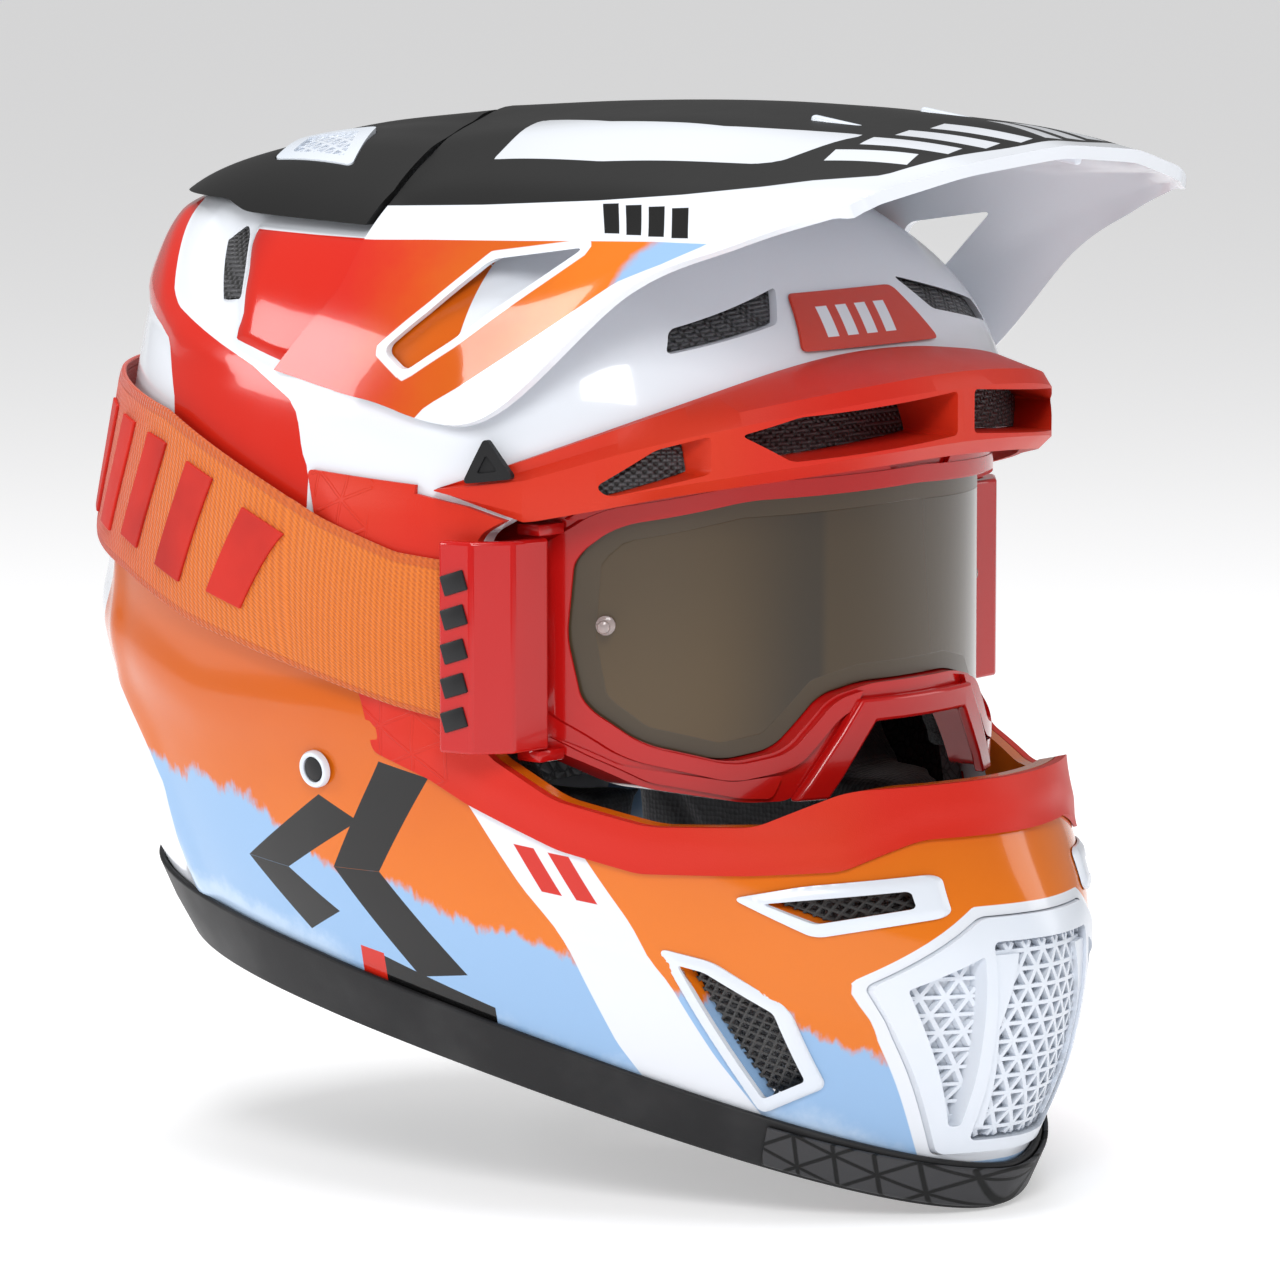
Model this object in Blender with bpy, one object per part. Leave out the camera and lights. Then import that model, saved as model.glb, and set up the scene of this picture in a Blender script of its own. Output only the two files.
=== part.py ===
"""Motocross helmet with a peaked visor, chin bar vents, padding and fitted goggles.

Lengths below are in millimetres and are turned into metres when a mesh is made.
+X is the wearer's left, -Y is the front and +Z is up, with the helmet level as worn.
While the pieces are made, the origin is the middle of the head. The last step moves
everything so that the origin is at the centre of the bottom of the helmet's box.
"""

import math

import bmesh
import bpy
import numpy as np
from mathutils import Matrix, Vector
from mathutils.bvhtree import BVHTree

MM = 0.001
GAP = 0.35  # clearance between two pieces that touch

# Shell rings from the bottom edge to the crown. Each ring is two half superellipses
# on a curved plane: heights at the front, side and back, then where the front, the
# widest place and the back lie along Y, the half width, and the two exponents.
SHELL_RINGS = (
    (-142, -91, -74, -170, 5, 121, 104, 1.72, 2.3),
    (-110, -62, -48, -184, 2, 133, 114, 1.70, 2.4),
    (-75, -33, -18, -187, 0, 141, 120, 1.72, 2.4),
    (-36, -8, 8, -171, -2, 143, 123, 1.78, 2.4),
    (5, 22, 32, -160, -2, 140, 124, 2.00, 2.4),
    (60, 58, 62, -137, 0, 133, 122, 2.35, 2.4),
    (90, 90, 92, -125, 2, 125, 117, 2.60, 2.5),
    (112, 116, 116, -109, 6, 121, 106, 2.80, 2.6),
    (131, 135, 133, -86, 9, 114, 89, 2.60, 2.7),
    (145, 147, 145, -54, 12, 94, 66, 2.40, 2.6),
    (154, 155, 153, -22, 15, 62, 38, 2.20, 2.4),
    (158, 159, 158, 13, 16, 19, 3, 2.00, 2.0),
)
SHELL_WALL = 4.0
FOAM_GAP = 0.8  # between the shell and its foam
FOAM_WALL = 9.5  # side foam beside the cheek pads
LEVELS = (0, 1, 1.5, 2, 2.5, 3, 4, 5, 6, 7, 8, 9, 10, 11)
AROUND = 40

# Head room: height, front, back and half width of each ring, from the neck up.
HEAD_RINGS = (
    (-200, -92, 84, 80),
    (-95, -92, 84, 80),
    (-60, -90, 90, 79),
    (-20, -88, 103, 80),
    (15, -88, 107, 80),
    (50, -85, 104, 77),
    (80, -73, 92, 66),
    (100, -50, 70, 48),
    (110, -22, 42, 26),
    (113, 5, 15, 6),
)
HEAD_EXPONENT = 2.25
COMFORT_PAD = 8.5

# Side-view outlines as (y, z).
EYEPORT = (
    (-230, 72), (-128, 71), (-115, 68), (-92, 59), (-76, 54), (-65, 47), (-61, 16),
    (-61, -8), (-66, -18), (-84, -30), (-109, -37), (-134, -37), (-152, -27), (-230, -24),
)
EYEPORT_TRIM = (
    (-46, 60.5), (-4, 63), (-8, 49), (-25, -4), (-28, -19), (-46, -26), (-58, -33),
    (-84, -45), (-106, -51), (-133, -51), (-153, -50), (-165, -42), (-230, -42),
    (-230, 50),
)
STRAP_TOP = ((-58, 39), (-39, 41), (-13, 49), (20, 62), (56, 76), (100, 84), (170, 88))
STRAP_BOTTOM = ((170, 38), (111, 33), (76, 26), (42, 15), (-2, 5), (-38, -4), (-58, -8))
SLOT_VENT = ((-137, -59), (-146, -58), (-167, -56), (-169, -61), (-149, -65))
CHIN_VENT = ((-114, -78), (-121, -80), (-137, -92), (-141, -113), (-129, -119))
REAR_VENT = ((56, 126), (49, 131), (41, 120), (37, 110), (46, 109))
VISOR_WINDOW = ((-28, 99), (-56, 126), (-90, 131), (-37, 93))
CHEEK_PAD = (
    (-84, -44), (-58, -40), (-36, -18), (20, -18), (30, -40), (22, -78), (-30, -92),
    (-76, -100), (-86, -60),
)
FAIRING_PLAN = (
    (0, 25.2), (50, 6.2), (84.5, -4.3), (140, -5), (140, 180), (-140, 180), (-140, -5),
    (-84.5, -4.3), (-50, 6.2),
)
FAIRING = ((-20, 200), (-20, 133), (47, 135), (60, 138), (100, 138), (180, 141), (180, 200))

# Front-view outlines as (x, z).
FOREHEAD_VENT = ((28, 116), (72, 106), (76, 99), (37, 106))
MOUTH_VENT = ((-52, -84), (-24, -65), (24, -65), (52, -84), (25, -137), (-25, -137))
BELOW_MOUTH_VENT = ((-25, -136), (25, -136), (25, -170), (-25, -170))
MOUTH_GRILLE = ((-20, -74), (20, -74), (16, -131), (-16, -131))
MOUTH_SLOT = ((25, -76), (44, -85), (25, -128), (22, -128))
BROW_OPENINGS = (
    ((4, 73.5), (62, 69), (74, 77), (60, 82), (4, 86.5)),
    ((80, 66), (98, 59), (100, 62), (90, 73), (80, 77)),
)
BROW_SPREAD = math.radians(72)  # how far the brow trim runs round from the middle
BADGE = ((-34, 98), (30, 98), (22, 114), (-26, 114))
FRAME_OUTER = (
    (0, 68), (-20, 67), (-43, 66), (-70, 61), (-92, 54), (-97, 47), (-98, 16), (-97, -14),
    (-90, -20), (-80, -28), (-58, -33), (-46, -33), (-24, -11), (0, -11),
)
FRAME_INNER = (
    (0, 58), (-57, 56), (-84, 49), (-90, 40), (-91, 16), (-89, -4), (-80, -15), (-62, -21),
    (-48, -18), (-34, -3), (-20, 0), (0, 0),
)
NOSE_GUARD = ((-47, -33), (-26, -4), (26, -4), (47, -33), (37, -33), (21, -11), (-21, -11), (-37, -33))

# Visor, from the seam to the front edge, each from the middle down to the lower edge.
VISOR_STATIONS = (
    ((0, -28, 167.5), (48, -38, 162.5), (86, -42, 146), (109, -40, 113), (117.5, -24, 84)),
    ((0, -80, 169), (46, -84, 165), (87, -84, 147.5), (107, -76, 115), (117, -66, 81)),
    ((0, -122, 168), (45, -122, 163.5), (87, -120, 148), (101, -114, 131), (108, -113, 120)),
    ((0, -160, 165.5), (43, -158, 161), (84, -152, 149), (91, -148, 141), (96, -144, 134)),
    ((0, -190, 160), (41, -186, 156.5), (71, -178, 150), (77, -176, 148), (81, -174, 146)),
)
VISOR_WALL = 2.4
VISOR_PIVOT = (-20, 98)  # y, z of the tilt axis

GOGGLE_AXIS_Y = -36
GOGGLE_RADIUS = 100.0
HINGE = (101.5, -74.5)  # x, y of an outrigger's pin
RIVET = (-6, -26)  # y, z of a chin strap rivet


# ---------------------------------------------------------------- surfaces

def smooth_row(rows, t):
    """The row at a fractional place t in a list of rows, on a Catmull-Rom curve."""
    rows = np.asarray(rows, float)
    last = len(rows) - 1
    if t <= 0:
        return rows[0] + t * (rows[1] - rows[0])
    i = min(int(t), last - 1)
    f = t - i
    before = rows[i - 1] if i > 0 else 2 * rows[0] - rows[1]
    after = rows[i + 2] if i + 2 <= last else 2 * rows[last] - rows[last - 1]
    a, b = rows[i], rows[i + 1]
    return 0.5 * (2 * a + (b - before) * f + (2 * before - 5 * a + 4 * b - after) * f * f
                  + (3 * a - before - 3 * b + after) * f ** 3)


def superellipse(angle, half_width, front, middle, back, front_n, back_n):
    """x and y on a ring. Angle 0 is the back, 90 degrees the left and 180 the front."""
    s, c = math.sin(angle), math.cos(angle)
    power = 2 / (back_n if c > 0 else front_n)
    x = half_width * math.copysign(abs(s) ** power, s)
    reach = abs(c) ** power
    y = middle + (back - middle) * reach if c > 0 else middle - (middle - front) * reach
    return x, y


def bare_skin(t, angle):
    """A point on the shell's outer surface, t rings up from the bottom edge."""
    zf, zm, zb, yf, ym, yb, half_width, nf, nb = smooth_row(SHELL_RINGS, t)
    x, y = superellipse(angle, half_width, yf, ym, yb, nf, nb)
    z = (zf * (y - ym) * (y - yb) / ((yf - ym) * (yf - yb))
         + zm * (y - yf) * (y - yb) / ((ym - yf) * (ym - yb))
         + zb * (y - yf) * (y - ym) / ((yb - yf) * (yb - ym)))
    return Vector((x, y, z))


def skin(t, angle, offset=0.0):
    """A point that stands offset out from the shell's surface."""
    up = bare_skin(t + 0.03, angle) - bare_skin(t - 0.03, angle)
    along = bare_skin(t, angle + 0.02) - bare_skin(t, angle - 0.02)
    return bare_skin(t, angle) + offset * up.cross(along).normalized()


def level_at(z, angle):
    """The ring number t where the shell has this height at this angle."""
    ts = np.linspace(0, 11, 80)
    return float(np.interp(z, [bare_skin(t, angle).z for t in ts], ts))


def skin_width(y, z, offset=0.0):
    """x of the shell's left side at a place in the side view, plus an offset."""
    low, high = 0.02, math.pi - 0.02
    angles = np.linspace(low, high, 60)
    ys = [bare_skin(level_at(z, a), a).y for a in angles]
    angle = float(np.interp(-y, [-v for v in ys], angles))
    return skin(level_at(z, angle), angle, offset).x


# ------------------------------------------------------------------ meshes

def material(name, colour, roughness, metallic=0.0, alpha=1.0):
    """A Principled material, made once for each name."""
    found = bpy.data.materials.get(name)
    if found:
        return found
    made = bpy.data.materials.new(name)
    made.use_nodes = True
    shader = made.node_tree.nodes["Principled BSDF"]
    shader.inputs["Base Color"].default_value = (*colour, 1)
    shader.inputs["Roughness"].default_value = roughness
    shader.inputs["Metallic"].default_value = metallic
    shader.inputs["Alpha"].default_value = alpha
    made.diffuse_color = (*colour, alpha)
    return made


def red_plastic():
    return material("red_plastic", (0.68, 0.035, 0.02), 0.45)


def black_rubber():
    return material("black_rubber", (0.02, 0.02, 0.02), 0.7)


def black_mesh():
    return material("black_mesh", (0.015, 0.015, 0.015), 0.5)


def white_plastic():
    return material("white_plastic", (0.8, 0.83, 0.86), 0.3)


def black_foam():
    return material("black_foam", (0.03, 0.03, 0.03), 0.9)


def black_webbing():
    return material("black_webbing", (0.02, 0.02, 0.02), 0.8)


def add(name, points, faces, surface):
    """An object from points in millimetres, with its faces turned outward."""
    mesh = bpy.data.meshes.new(name)
    mesh.from_pydata([Vector(p) * MM for p in points], [], faces)
    bm = bmesh.new()
    bm.from_mesh(mesh)
    bmesh.ops.remove_doubles(bm, verts=bm.verts, dist=1e-6)
    bmesh.ops.recalc_face_normals(bm, faces=bm.faces)
    bm.to_mesh(mesh)
    bm.free()
    mesh.materials.append(surface)
    made = bpy.data.objects.new(name, mesh)
    bpy.context.scene.collection.objects.link(made)
    return made


def combine(target, cutter, operation, keep=False):
    """Runs an exact Boolean on the target and drops the cutter."""
    step = target.modifiers.new("cut", "BOOLEAN")
    step.operation = operation
    step.solver = "EXACT"
    step.object = cutter
    bpy.context.view_layer.update()
    seen = target.evaluated_get(bpy.context.evaluated_depsgraph_get())
    result = bpy.data.meshes.new_from_object(seen)
    surface = target.data.materials[0]
    target.modifiers.remove(step)
    result.materials.clear()
    result.materials.append(surface)
    for face in result.polygons:
        face.material_index = 0
    target.data = result
    if not keep:
        bpy.data.objects.remove(cutter)
    return target


def cut(target, *cutters):
    for cutter in cutters:
        combine(target, cutter, "DIFFERENCE")
    return target


def crop(target, *cutters):
    for cutter in cutters:
        combine(target, cutter, "INTERSECT")
    return target


def join(target, *others):
    for other in others:
        combine(target, other, "UNION")
    return target


def mirrored(source, name):
    """A copy of a left-hand piece for the right-hand side."""
    mesh = source.data.copy()
    mesh.name = name
    mesh.transform(Matrix.Scale(-1, 4, (1, 0, 0)))
    mesh.flip_normals()
    made = bpy.data.objects.new(name, mesh)
    bpy.context.scene.collection.objects.link(made)
    return made


def loft(name, rings, surface, closed=False):
    """A solid through rings of equal length, capped at both ends unless closed."""
    count, size = len(rings), len(rings[0])
    points = [p for ring in rings for p in ring]
    faces = []
    for i in range(count if closed else count - 1):
        a, b = i * size, (i + 1) % count * size
        faces += [(a + k, a + (k + 1) % size, b + (k + 1) % size, b + k) for k in range(size)]
    if not closed:
        faces += [tuple(range(size)), tuple(range((count - 1) * size, count * size))]
    return add(name, points, faces, surface)


def skin_rings(offset, levels=LEVELS):
    angles = [2 * math.pi * k / AROUND for k in range(AROUND)]
    return [[skin(t, a, offset) for a in angles] for t in levels]


def skin_volume(name, offset, levels=LEVELS):
    """A solid of everything inside the shell's surface, moved out by offset."""
    return loft(name, skin_rings(offset, levels), black_foam())


def layer(name, inner, outer, surface, levels=LEVELS):
    """A skin between two offsets from the shell, open at the bottom like the shell."""
    outside = skin_rings(outer, levels)
    inside = skin_rings(inner, levels)
    return loft(name, inside[::-1] + outside, surface)


def side_prism(outline, low_x=-260.0, high_x=260.0):
    """A cutter with a side-view outline, from low_x to high_x."""
    return loft("cutter", [[(x, y, z) for y, z in outline] for x in (low_x, high_x)], black_foam())


def front_prism(outline, low_y=-260.0, high_y=-60.0):
    """A cutter with a front-view outline, from low_y to high_y."""
    return loft("cutter", [[(x, y, z) for x, z in outline] for y in (low_y, high_y)], black_foam())


def block(low, high, surface=None):
    """A box between two corners."""
    ring = [(low[0], low[1]), (high[0], low[1]), (high[0], high[1]), (low[0], high[1])]
    return loft("block", [[(x, y, z) for x, y in ring] for z in (low[2], high[2])], surface or black_foam())


def rod(name, centre, axis, radius, length, surface, sides=16, hollow=0.0):
    """A cylinder, or a tube when it is hollow, along a direction from its centre."""
    axis = Vector(axis).normalized()
    side = axis.orthogonal().normalized()
    up = axis.cross(side)

    def ring(r, t):
        turns = [2 * math.pi * k / sides for k in range(sides)]
        middle = Vector(centre) + axis * t
        return [middle + r * (side * math.cos(a) + up * math.sin(a)) for a in turns]

    half = length / 2
    if not hollow:
        return loft(name, [ring(radius, -half), ring(radius, half)], surface)
    rings = [ring(radius, -half), ring(radius, half), ring(hollow, half), ring(hollow, -half)]
    return loft(name, rings, surface, closed=True)


def grown(outline, distance):
    """The outline moved out by a distance (in when negative), with mitred corners."""
    points = [Vector(p) for p in outline]
    area = sum(a.cross(b) for a, b in zip(points, points[1:] + points[:1]))
    sign = 1 if area > 0 else -1
    moved = []
    for i, here in enumerate(points):
        into = (here - points[i - 1]).normalized()
        out = (points[(i + 1) % len(points)] - here).normalized()
        normals = [Vector((d.y, -d.x)) * sign for d in (into, out)]
        middle = (normals[0] + normals[1]).normalized()
        moved.append(tuple(here + middle * distance / max(middle.dot(normals[0]), 0.5)))
    return moved


def whole(half_outline):
    """A closed outline from its right half, listed from the top middle to the bottom one."""
    left = [(-x, z) for x, z in reversed(half_outline) if x != 0]
    return list(half_outline) + left


def ribbon(name, path, width, thickness, surface):
    """A strap along a path, with its width along Y."""
    path = [Vector(p) for p in path]
    rings = []
    for i, here in enumerate(path):
        run = path[min(i + 1, len(path) - 1)] - path[max(i - 1, 0)]
        run.y = 0
        face = Vector((-run.z, 0, run.x)).normalized() * thickness / 2
        edge = Vector((0, width / 2, 0))
        rings.append([here - face - edge, here + face - edge, here + face + edge, here - face + edge])
    return loft(name, rings, surface)


# ------------------------------------------------------------ shell and foam

def outer_shell():
    made = layer("outer_shell", -SHELL_WALL, 0, material("shell_paint", (0.76, 0.25, 0.06), 0.12))
    cut(made, side_prism(EYEPORT), front_prism(grown(MOUTH_VENT, GAP)))
    cut(made, front_prism(BELOW_MOUTH_VENT))
    cut(made, side_prism(SLOT_VENT), side_prism(CHIN_VENT), side_prism(REAR_VENT, 60, 160))
    cut(made, side_prism(REAR_VENT, -160, -60))
    for sign in (1, -1):
        cut(made, front_prism([(sign * x, z) for x, z in FOREHEAD_VENT]))
        y, z = VISOR_PIVOT
        cut(made, rod("hole", (sign * 110, y, z), (1, 0, 0), 5, 40, black_foam()))
    return made


def head_room(name, spare):
    """The space for the head, made larger all round by a distance."""
    rings = []
    for i in range(0, 4 * (len(HEAD_RINGS) - 1) + 1, 2):
        z, front, back, half_width = smooth_row(HEAD_RINGS, i / 4)
        top = spare if z > 60 else 0
        angles = [2 * math.pi * k / 28 for k in range(28)]
        middle = (front + back) / 2
        ring = [superellipse(a, half_width + spare, front - spare, middle, back + spare,
                             HEAD_EXPONENT, HEAD_EXPONENT) for a in angles]
        rings.append([(x, y, z + top) for x, y in ring])
    return loft(name, rings, black_foam())


def impact_liner():
    made = skin_volume("impact_liner", -SHELL_WALL - FOAM_GAP)
    made.data.materials[0] = material("impact_foam", (0.12, 0.12, 0.13), 0.85)
    cut(made, head_room("room", COMFORT_PAD + GAP))
    above = ((-130, 76), (-92, 74), (-70, 68), (-46, 58), (-42, -8), (-36, -14), (34, -14), (44, -52),
             (70, -58), (160, -50), (160, 200), (-130, 200))
    crop(made, side_prism(above))
    return made


def side_foam():
    """Foam beside a cheek pad, between it and the shell."""
    made = layer("side_foam_left", -SHELL_WALL - FOAM_WALL, -SHELL_WALL - FOAM_GAP,
                 material("impact_foam", (0.12, 0.12, 0.13), 0.85))
    outline = ((-70, -28), (-48, -16), (34, -16), (40, -52), (30, -76), (-30, -88), (-74, -100), (-82, -60))
    crop(made, side_prism(outline, 20, 200))
    return cut(made, strap_groove())


def chin_bar_foam():
    made = layer("chin_bar_foam", -SHELL_WALL - 12, -SHELL_WALL - FOAM_GAP,
                 material("impact_foam", (0.12, 0.12, 0.13), 0.85))
    outline = ((-230, -38), (-150, -40), (-110, -46), (-90, -46), (-92, -104), (-110, -114), (-230, -134))
    crop(made, side_prism(outline))
    cut(made, front_prism(grown(MOUTH_VENT, 3)))
    return made


def comfort_liner():
    made = head_room("comfort_liner", COMFORT_PAD)
    made.data.materials[0] = material("black_cloth", (0.03, 0.03, 0.035), 0.9)
    cut(made, head_room("room", 0))
    above = ((-120, 70), (-76, 66), (-58, 44), (-48, 6), (34, -2), (50, -48), (120, -50), (120, 200),
             (-120, 200))
    return crop(made, side_prism(above))


def neck_roll():
    made = layer("neck_roll", -SHELL_WALL - 22, -SHELL_WALL - 1.2,
                 material("black_cloth", (0.03, 0.03, 0.035), 0.9))
    return crop(made, side_prism(((52, -60), (70, -61), (170, -53), (170, -68), (70, -80), (50, -82))))


def cheek_pad():
    made = skin_volume("cheek_pad_left", -SHELL_WALL - FOAM_WALL - GAP)
    made.data.materials[0] = material("black_cloth", (0.03, 0.03, 0.035), 0.9)
    crop(made, side_prism(CHEEK_PAD, 58, 200))
    cut(made, strap_groove())
    return made


def release_tab():
    """Red pull tab that hangs from a cheek pad's lower edge."""
    rings = [[(x, y, z) for x, y in ((68, -64), (84, -64), (84, -62), (68, -62))] for z in (-112, -99.8)]
    return loft("release_tab_left", rings, material("red_webbing", (0.6, 0.04, 0.03), 0.8))


def chin_strap(name, thickness, width, top=-24):
    """Webbing from the rivet down inside the shell and in under the chin."""
    y, _ = RIVET
    path = [(skin_width(y, z, -SHELL_WALL - FOAM_WALL - 2.8), y, z) for z in (top, -50, -74)]
    path += [(87, y, -92), (82, y - 2, -101), (70, y - 6, -105), (52, y - 10, -107), (24, y - 14, -108)]
    return ribbon(name, path, width, thickness, black_webbing())


def strap_groove():
    """Room for the chin strap in the pad and the foam beside it."""
    return chin_strap("groove", 6.5, 30, -8)


def buckle(name, low_x, high_x):
    """Half of the magnetic buckle under the chin."""
    y = RIVET[0] - 14
    surface = material("buckle_plastic", (0.03, 0.03, 0.03), 0.4)
    made = block((low_x, y - 14, -112), (high_x, y + 14, -104.5), surface)
    made.name = name
    return made


def strap_rivet():
    """Cap of the bolt that holds the chin strap, with its white ring."""
    y, z = RIVET
    x = skin_width(y, z)
    made = rod("strap_rivet_left", (x + 1.7, y, z), (1, 0.05, -0.13), 5.6, 2.2, white_plastic(), 20)
    return made


# ------------------------------------------------------------------- trims

def eyeport_trim():
    made = layer("eyeport_trim", GAP, 3.0, red_plastic())
    crop(made, side_prism(EYEPORT_TRIM))
    turns = [math.pi - BROW_SPREAD * (1.04 - k / 10) for k in range(6)]
    brow = [(skin(level_at(z, a), a).y, z) for a, z in ((a, brow_heights(a)[1] - 1.2) for a in turns)]
    return cut(made, side_prism(EYEPORT), side_prism(brow + [(-230, 60), (-230, 130), (brow[0][0], 130)]))


def brow_heights(angle):
    """Top and bottom of the brow trim at an angle round the front, and its forward bulge."""
    away = min(abs(angle - math.pi) / BROW_SPREAD, 1)
    top = 98 - 38 * away ** 1.6
    bottom = 67 - 16 * (away / 0.83) ** 1.5 if away < 0.83 else 51 + 49 * (away - 0.83)
    bulge = math.cos(min(1.3 * away, 1) * math.pi / 2) ** 2
    return top, bottom, bulge


def brow_section(angle):
    """The brow trim's section: sloping roof, upright face and upturned underside."""
    top, bottom, bulge = brow_heights(angle)
    middle = (top + bottom) / 2
    base = skin(level_at(middle, angle), angle)
    out = skin(level_at(middle, angle), angle, 1) - base
    out.z = 0
    out.normalize()
    reach = 3.4 + 22 * bulge
    tall = top - bottom

    def place(share, away):
        z = bottom + share * tall
        clear = (skin(level_at(z, angle), angle) - base).dot(out) + 1.2
        spot = base + out * max(away, clear)
        return Vector((spot.x, spot.y, z))

    def touch(z):
        return skin(level_at(z, angle), angle, -2)

    return [touch(top), place(0.97, 1.6), place(0.80, reach - 2.5), place(0.66, reach),
            place(0.14, reach), place(0, reach - 4), touch(bottom + 1 + 6 * bulge)]


def brow_trim():
    """Air intake that hoods the top of the eyeport."""
    steps = 28
    rings = [brow_section(math.pi + 2 * BROW_SPREAD * (k / steps - 0.5)) for k in range(steps + 1)]
    made = loft("brow_trim", rings, red_plastic())
    cut(made, skin_volume("space", GAP))
    for sign in (1, -1):
        for outline in BROW_OPENINGS:
            cut(made, front_prism([(sign * x, z) for x, z in outline], -200, -60))
    return made


def brow_mesh(name, outline):
    """Mesh that closes an opening of the brow trim, set back from its face."""
    made = layer(name, 1.0, 2.2, black_mesh())
    return crop(made, front_prism(grown(outline, -GAP), -200, -60))


def brow_plug():
    """Triangular cap at the corner of the eyeport."""
    made = layer("brow_plug_left", 3.7, 5.2, black_rubber())
    return crop(made, side_prism(((-61, 62), (-76, 64), (-67, 76)), 60, 200))


def base_trim():
    """Rubber edge that wraps the shell's lower rim."""
    rings = []
    for k in range(AROUND):
        angle = 2 * math.pi * k / AROUND
        back = 0.5 + 0.5 * math.cos(angle)
        lip = 0.03 + 0.42 * back
        drop = Vector((0, 0, GAP))
        rings.append([
            skin(lip, angle, 2.2), skin(lip, angle, GAP), skin(0, angle, GAP) - drop,
            skin(0, angle, -SHELL_WALL - 1.5) - drop, skin(-0.42, angle, -4.5),
            skin(-0.42, angle, 1.6), skin(0, angle, 2.6),
        ])
    return loft("base_trim", rings, black_rubber(), closed=True)


def chin_pad():
    """Textured guard on the rim under the chin."""
    rings = []
    for k in range(13):
        angle = math.pi + math.radians(76) * (k / 12 - 0.5)
        rings.append([
            skin(0.02, angle, 3.1), skin(0.02, angle, 4.6), skin(-0.34, angle, 4.0),
            skin(-0.38, angle, 2.6),
        ])
    return loft("chin_pad", rings, material("grey_rubber", (0.09, 0.09, 0.1), 0.75))


# ------------------------------------------------------------------- vents

def crown_fairing():
    made = layer("crown_fairing", GAP, 4.6, material("matte_black", (0.02, 0.02, 0.02), 0.55))
    seam = loft("cutter", [[(x, y, z) for x, y in FAIRING_PLAN] for z in (90, 200)], black_foam())
    crop(made, side_prism(FAIRING), seam)
    for sign in (1, -1):
        cut(made, crown_vent_prism(sign, GAP))
    return made


def crown_vent_prism(sign, spare):
    outline = grown([(67, 60), (38, 74), (40, 42), (74, 22)], spare)
    rings = [[(sign * x, y, z) for x, y in outline] for z in (100, 200)]
    return loft("cutter", rings, black_foam())


def crown_vent():
    made = layer("crown_vent_left", 0.8, 4.9, white_plastic())
    return crop(made, crown_vent_prism(1, 0))


def vent_mesh(name, cutter):
    """Mesh plate in the thickness of the shell."""
    return crop(layer(name, -3.2, -1.8, black_mesh()), cutter)


def vent_frame(name, outline, border):
    """Raised surround of a side vent."""
    made = layer(name, GAP, 1.9, white_plastic())
    crop(made, side_prism(grown(outline, border), 20, 200))
    return cut(made, side_prism(outline, 20, 200))


def mouth_vent_frame():
    made = layer("mouth_vent_frame", -8, 1.2, white_plastic())
    crop(made, front_prism(MOUTH_VENT, -260, -120))
    cut(made, front_prism(MOUTH_GRILLE))
    for sign in (1, -1):
        cut(made, front_prism([(sign * x, z) for x, z in MOUTH_SLOT]))
    return made


def mouth_grille():
    made = layer("mouth_grille", -3.6, -1.4, white_plastic())
    return crop(made, front_prism(grown(MOUTH_GRILLE, -GAP), -260, -120))


def mouth_filter():
    """Foam dust filter behind the mouth vent."""
    made = layer("mouth_filter", -14, -8.6, black_foam())
    return crop(made, front_prism(grown(MOUTH_VENT, -1), -260, -120))


def forehead_badge():
    made = layer("forehead_badge", GAP, 1.1, red_plastic())
    return crop(made, front_prism(BADGE))


# ------------------------------------------------------------------- visor

def stand_off(point, surface, distance):
    """The point, moved out until it stands at least a distance off a surface."""
    foot, normal, _, _ = surface.find_nearest(point * MM)
    foot = foot / MM
    height = (point - foot).dot(normal)
    return point if height > distance else foot + normal * distance


def visor_grid():
    """Points of the visor's outer face: stations from the seam forward, right to left."""
    seam = (
        (0, 24, 164.2), (50, 5, 156.8), (84.5, -5.5, 142),
        (skin_width(-6, 115, 3.2), -6, 115), (skin_width(12, 91, 3.2), 12, 91),
    )
    stations = [seam] + [list(s) for s in VISOR_STATIONS]
    rows = []
    steps = 3
    near = BVHTree.FromObject(skin_volume("space", 0), bpy.context.evaluated_depsgraph_get())
    for i in range(steps * (len(stations) - 1) + 1):
        half = smooth_row(stations, i / steps)
        half = [p for a, b in zip(half, half[1:]) for p in (a, (a + b) / 2)] + [half[-1]]
        half = [stand_off(Vector(p), near, VISOR_WALL + 0.9) for p in half]
        rows.append([Vector((-p.x, p.y, p.z)) for p in half[:0:-1]] + half)
    bpy.data.objects.remove(bpy.data.objects["space"])
    return rows


def visor():
    rows = visor_grid()
    last, side = len(rows) - 1, len(rows[0]) - 1
    inner = []
    for i, row in enumerate(rows):
        inner.append([])
        for k, here in enumerate(row):
            along = rows[min(i + 1, last)][k] - rows[max(i - 1, 0)][k]
            across = row[min(k + 1, side)] - row[max(k - 1, 0)]
            inner[-1].append(here + VISOR_WALL * across.cross(along).normalized())
    rings = [row + below[::-1] for row, below in zip(rows, inner)]
    made = loft("visor", rings, material("visor_paint", (0.8, 0.83, 0.86), 0.2))
    cut(made, skin_volume("space", 0.8), side_prism(VISOR_WINDOW))
    return made


def visor_pivot():
    """Pin that the visor tilts on, in the shell's wall behind its side."""
    y, z = VISOR_PIVOT
    steel = material("black_metal", (0.05, 0.05, 0.05), 0.4, 1.0)
    made = rod("visor_pivot_left", (skin_width(y, z), y, z), (1, 0, 0), 4.6, 30, steel)
    return cut(crop(made, skin_volume("space", 0.3)), skin_volume("space", 0.2 - SHELL_WALL))


# ----------------------------------------------------------------- goggles

def goggle_face(x, setback):
    """y of the goggles' curved face at a distance behind its front."""
    return GOGGLE_AXIS_Y + setback - math.sqrt(GOGGLE_RADIUS ** 2 - x * x)


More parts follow.
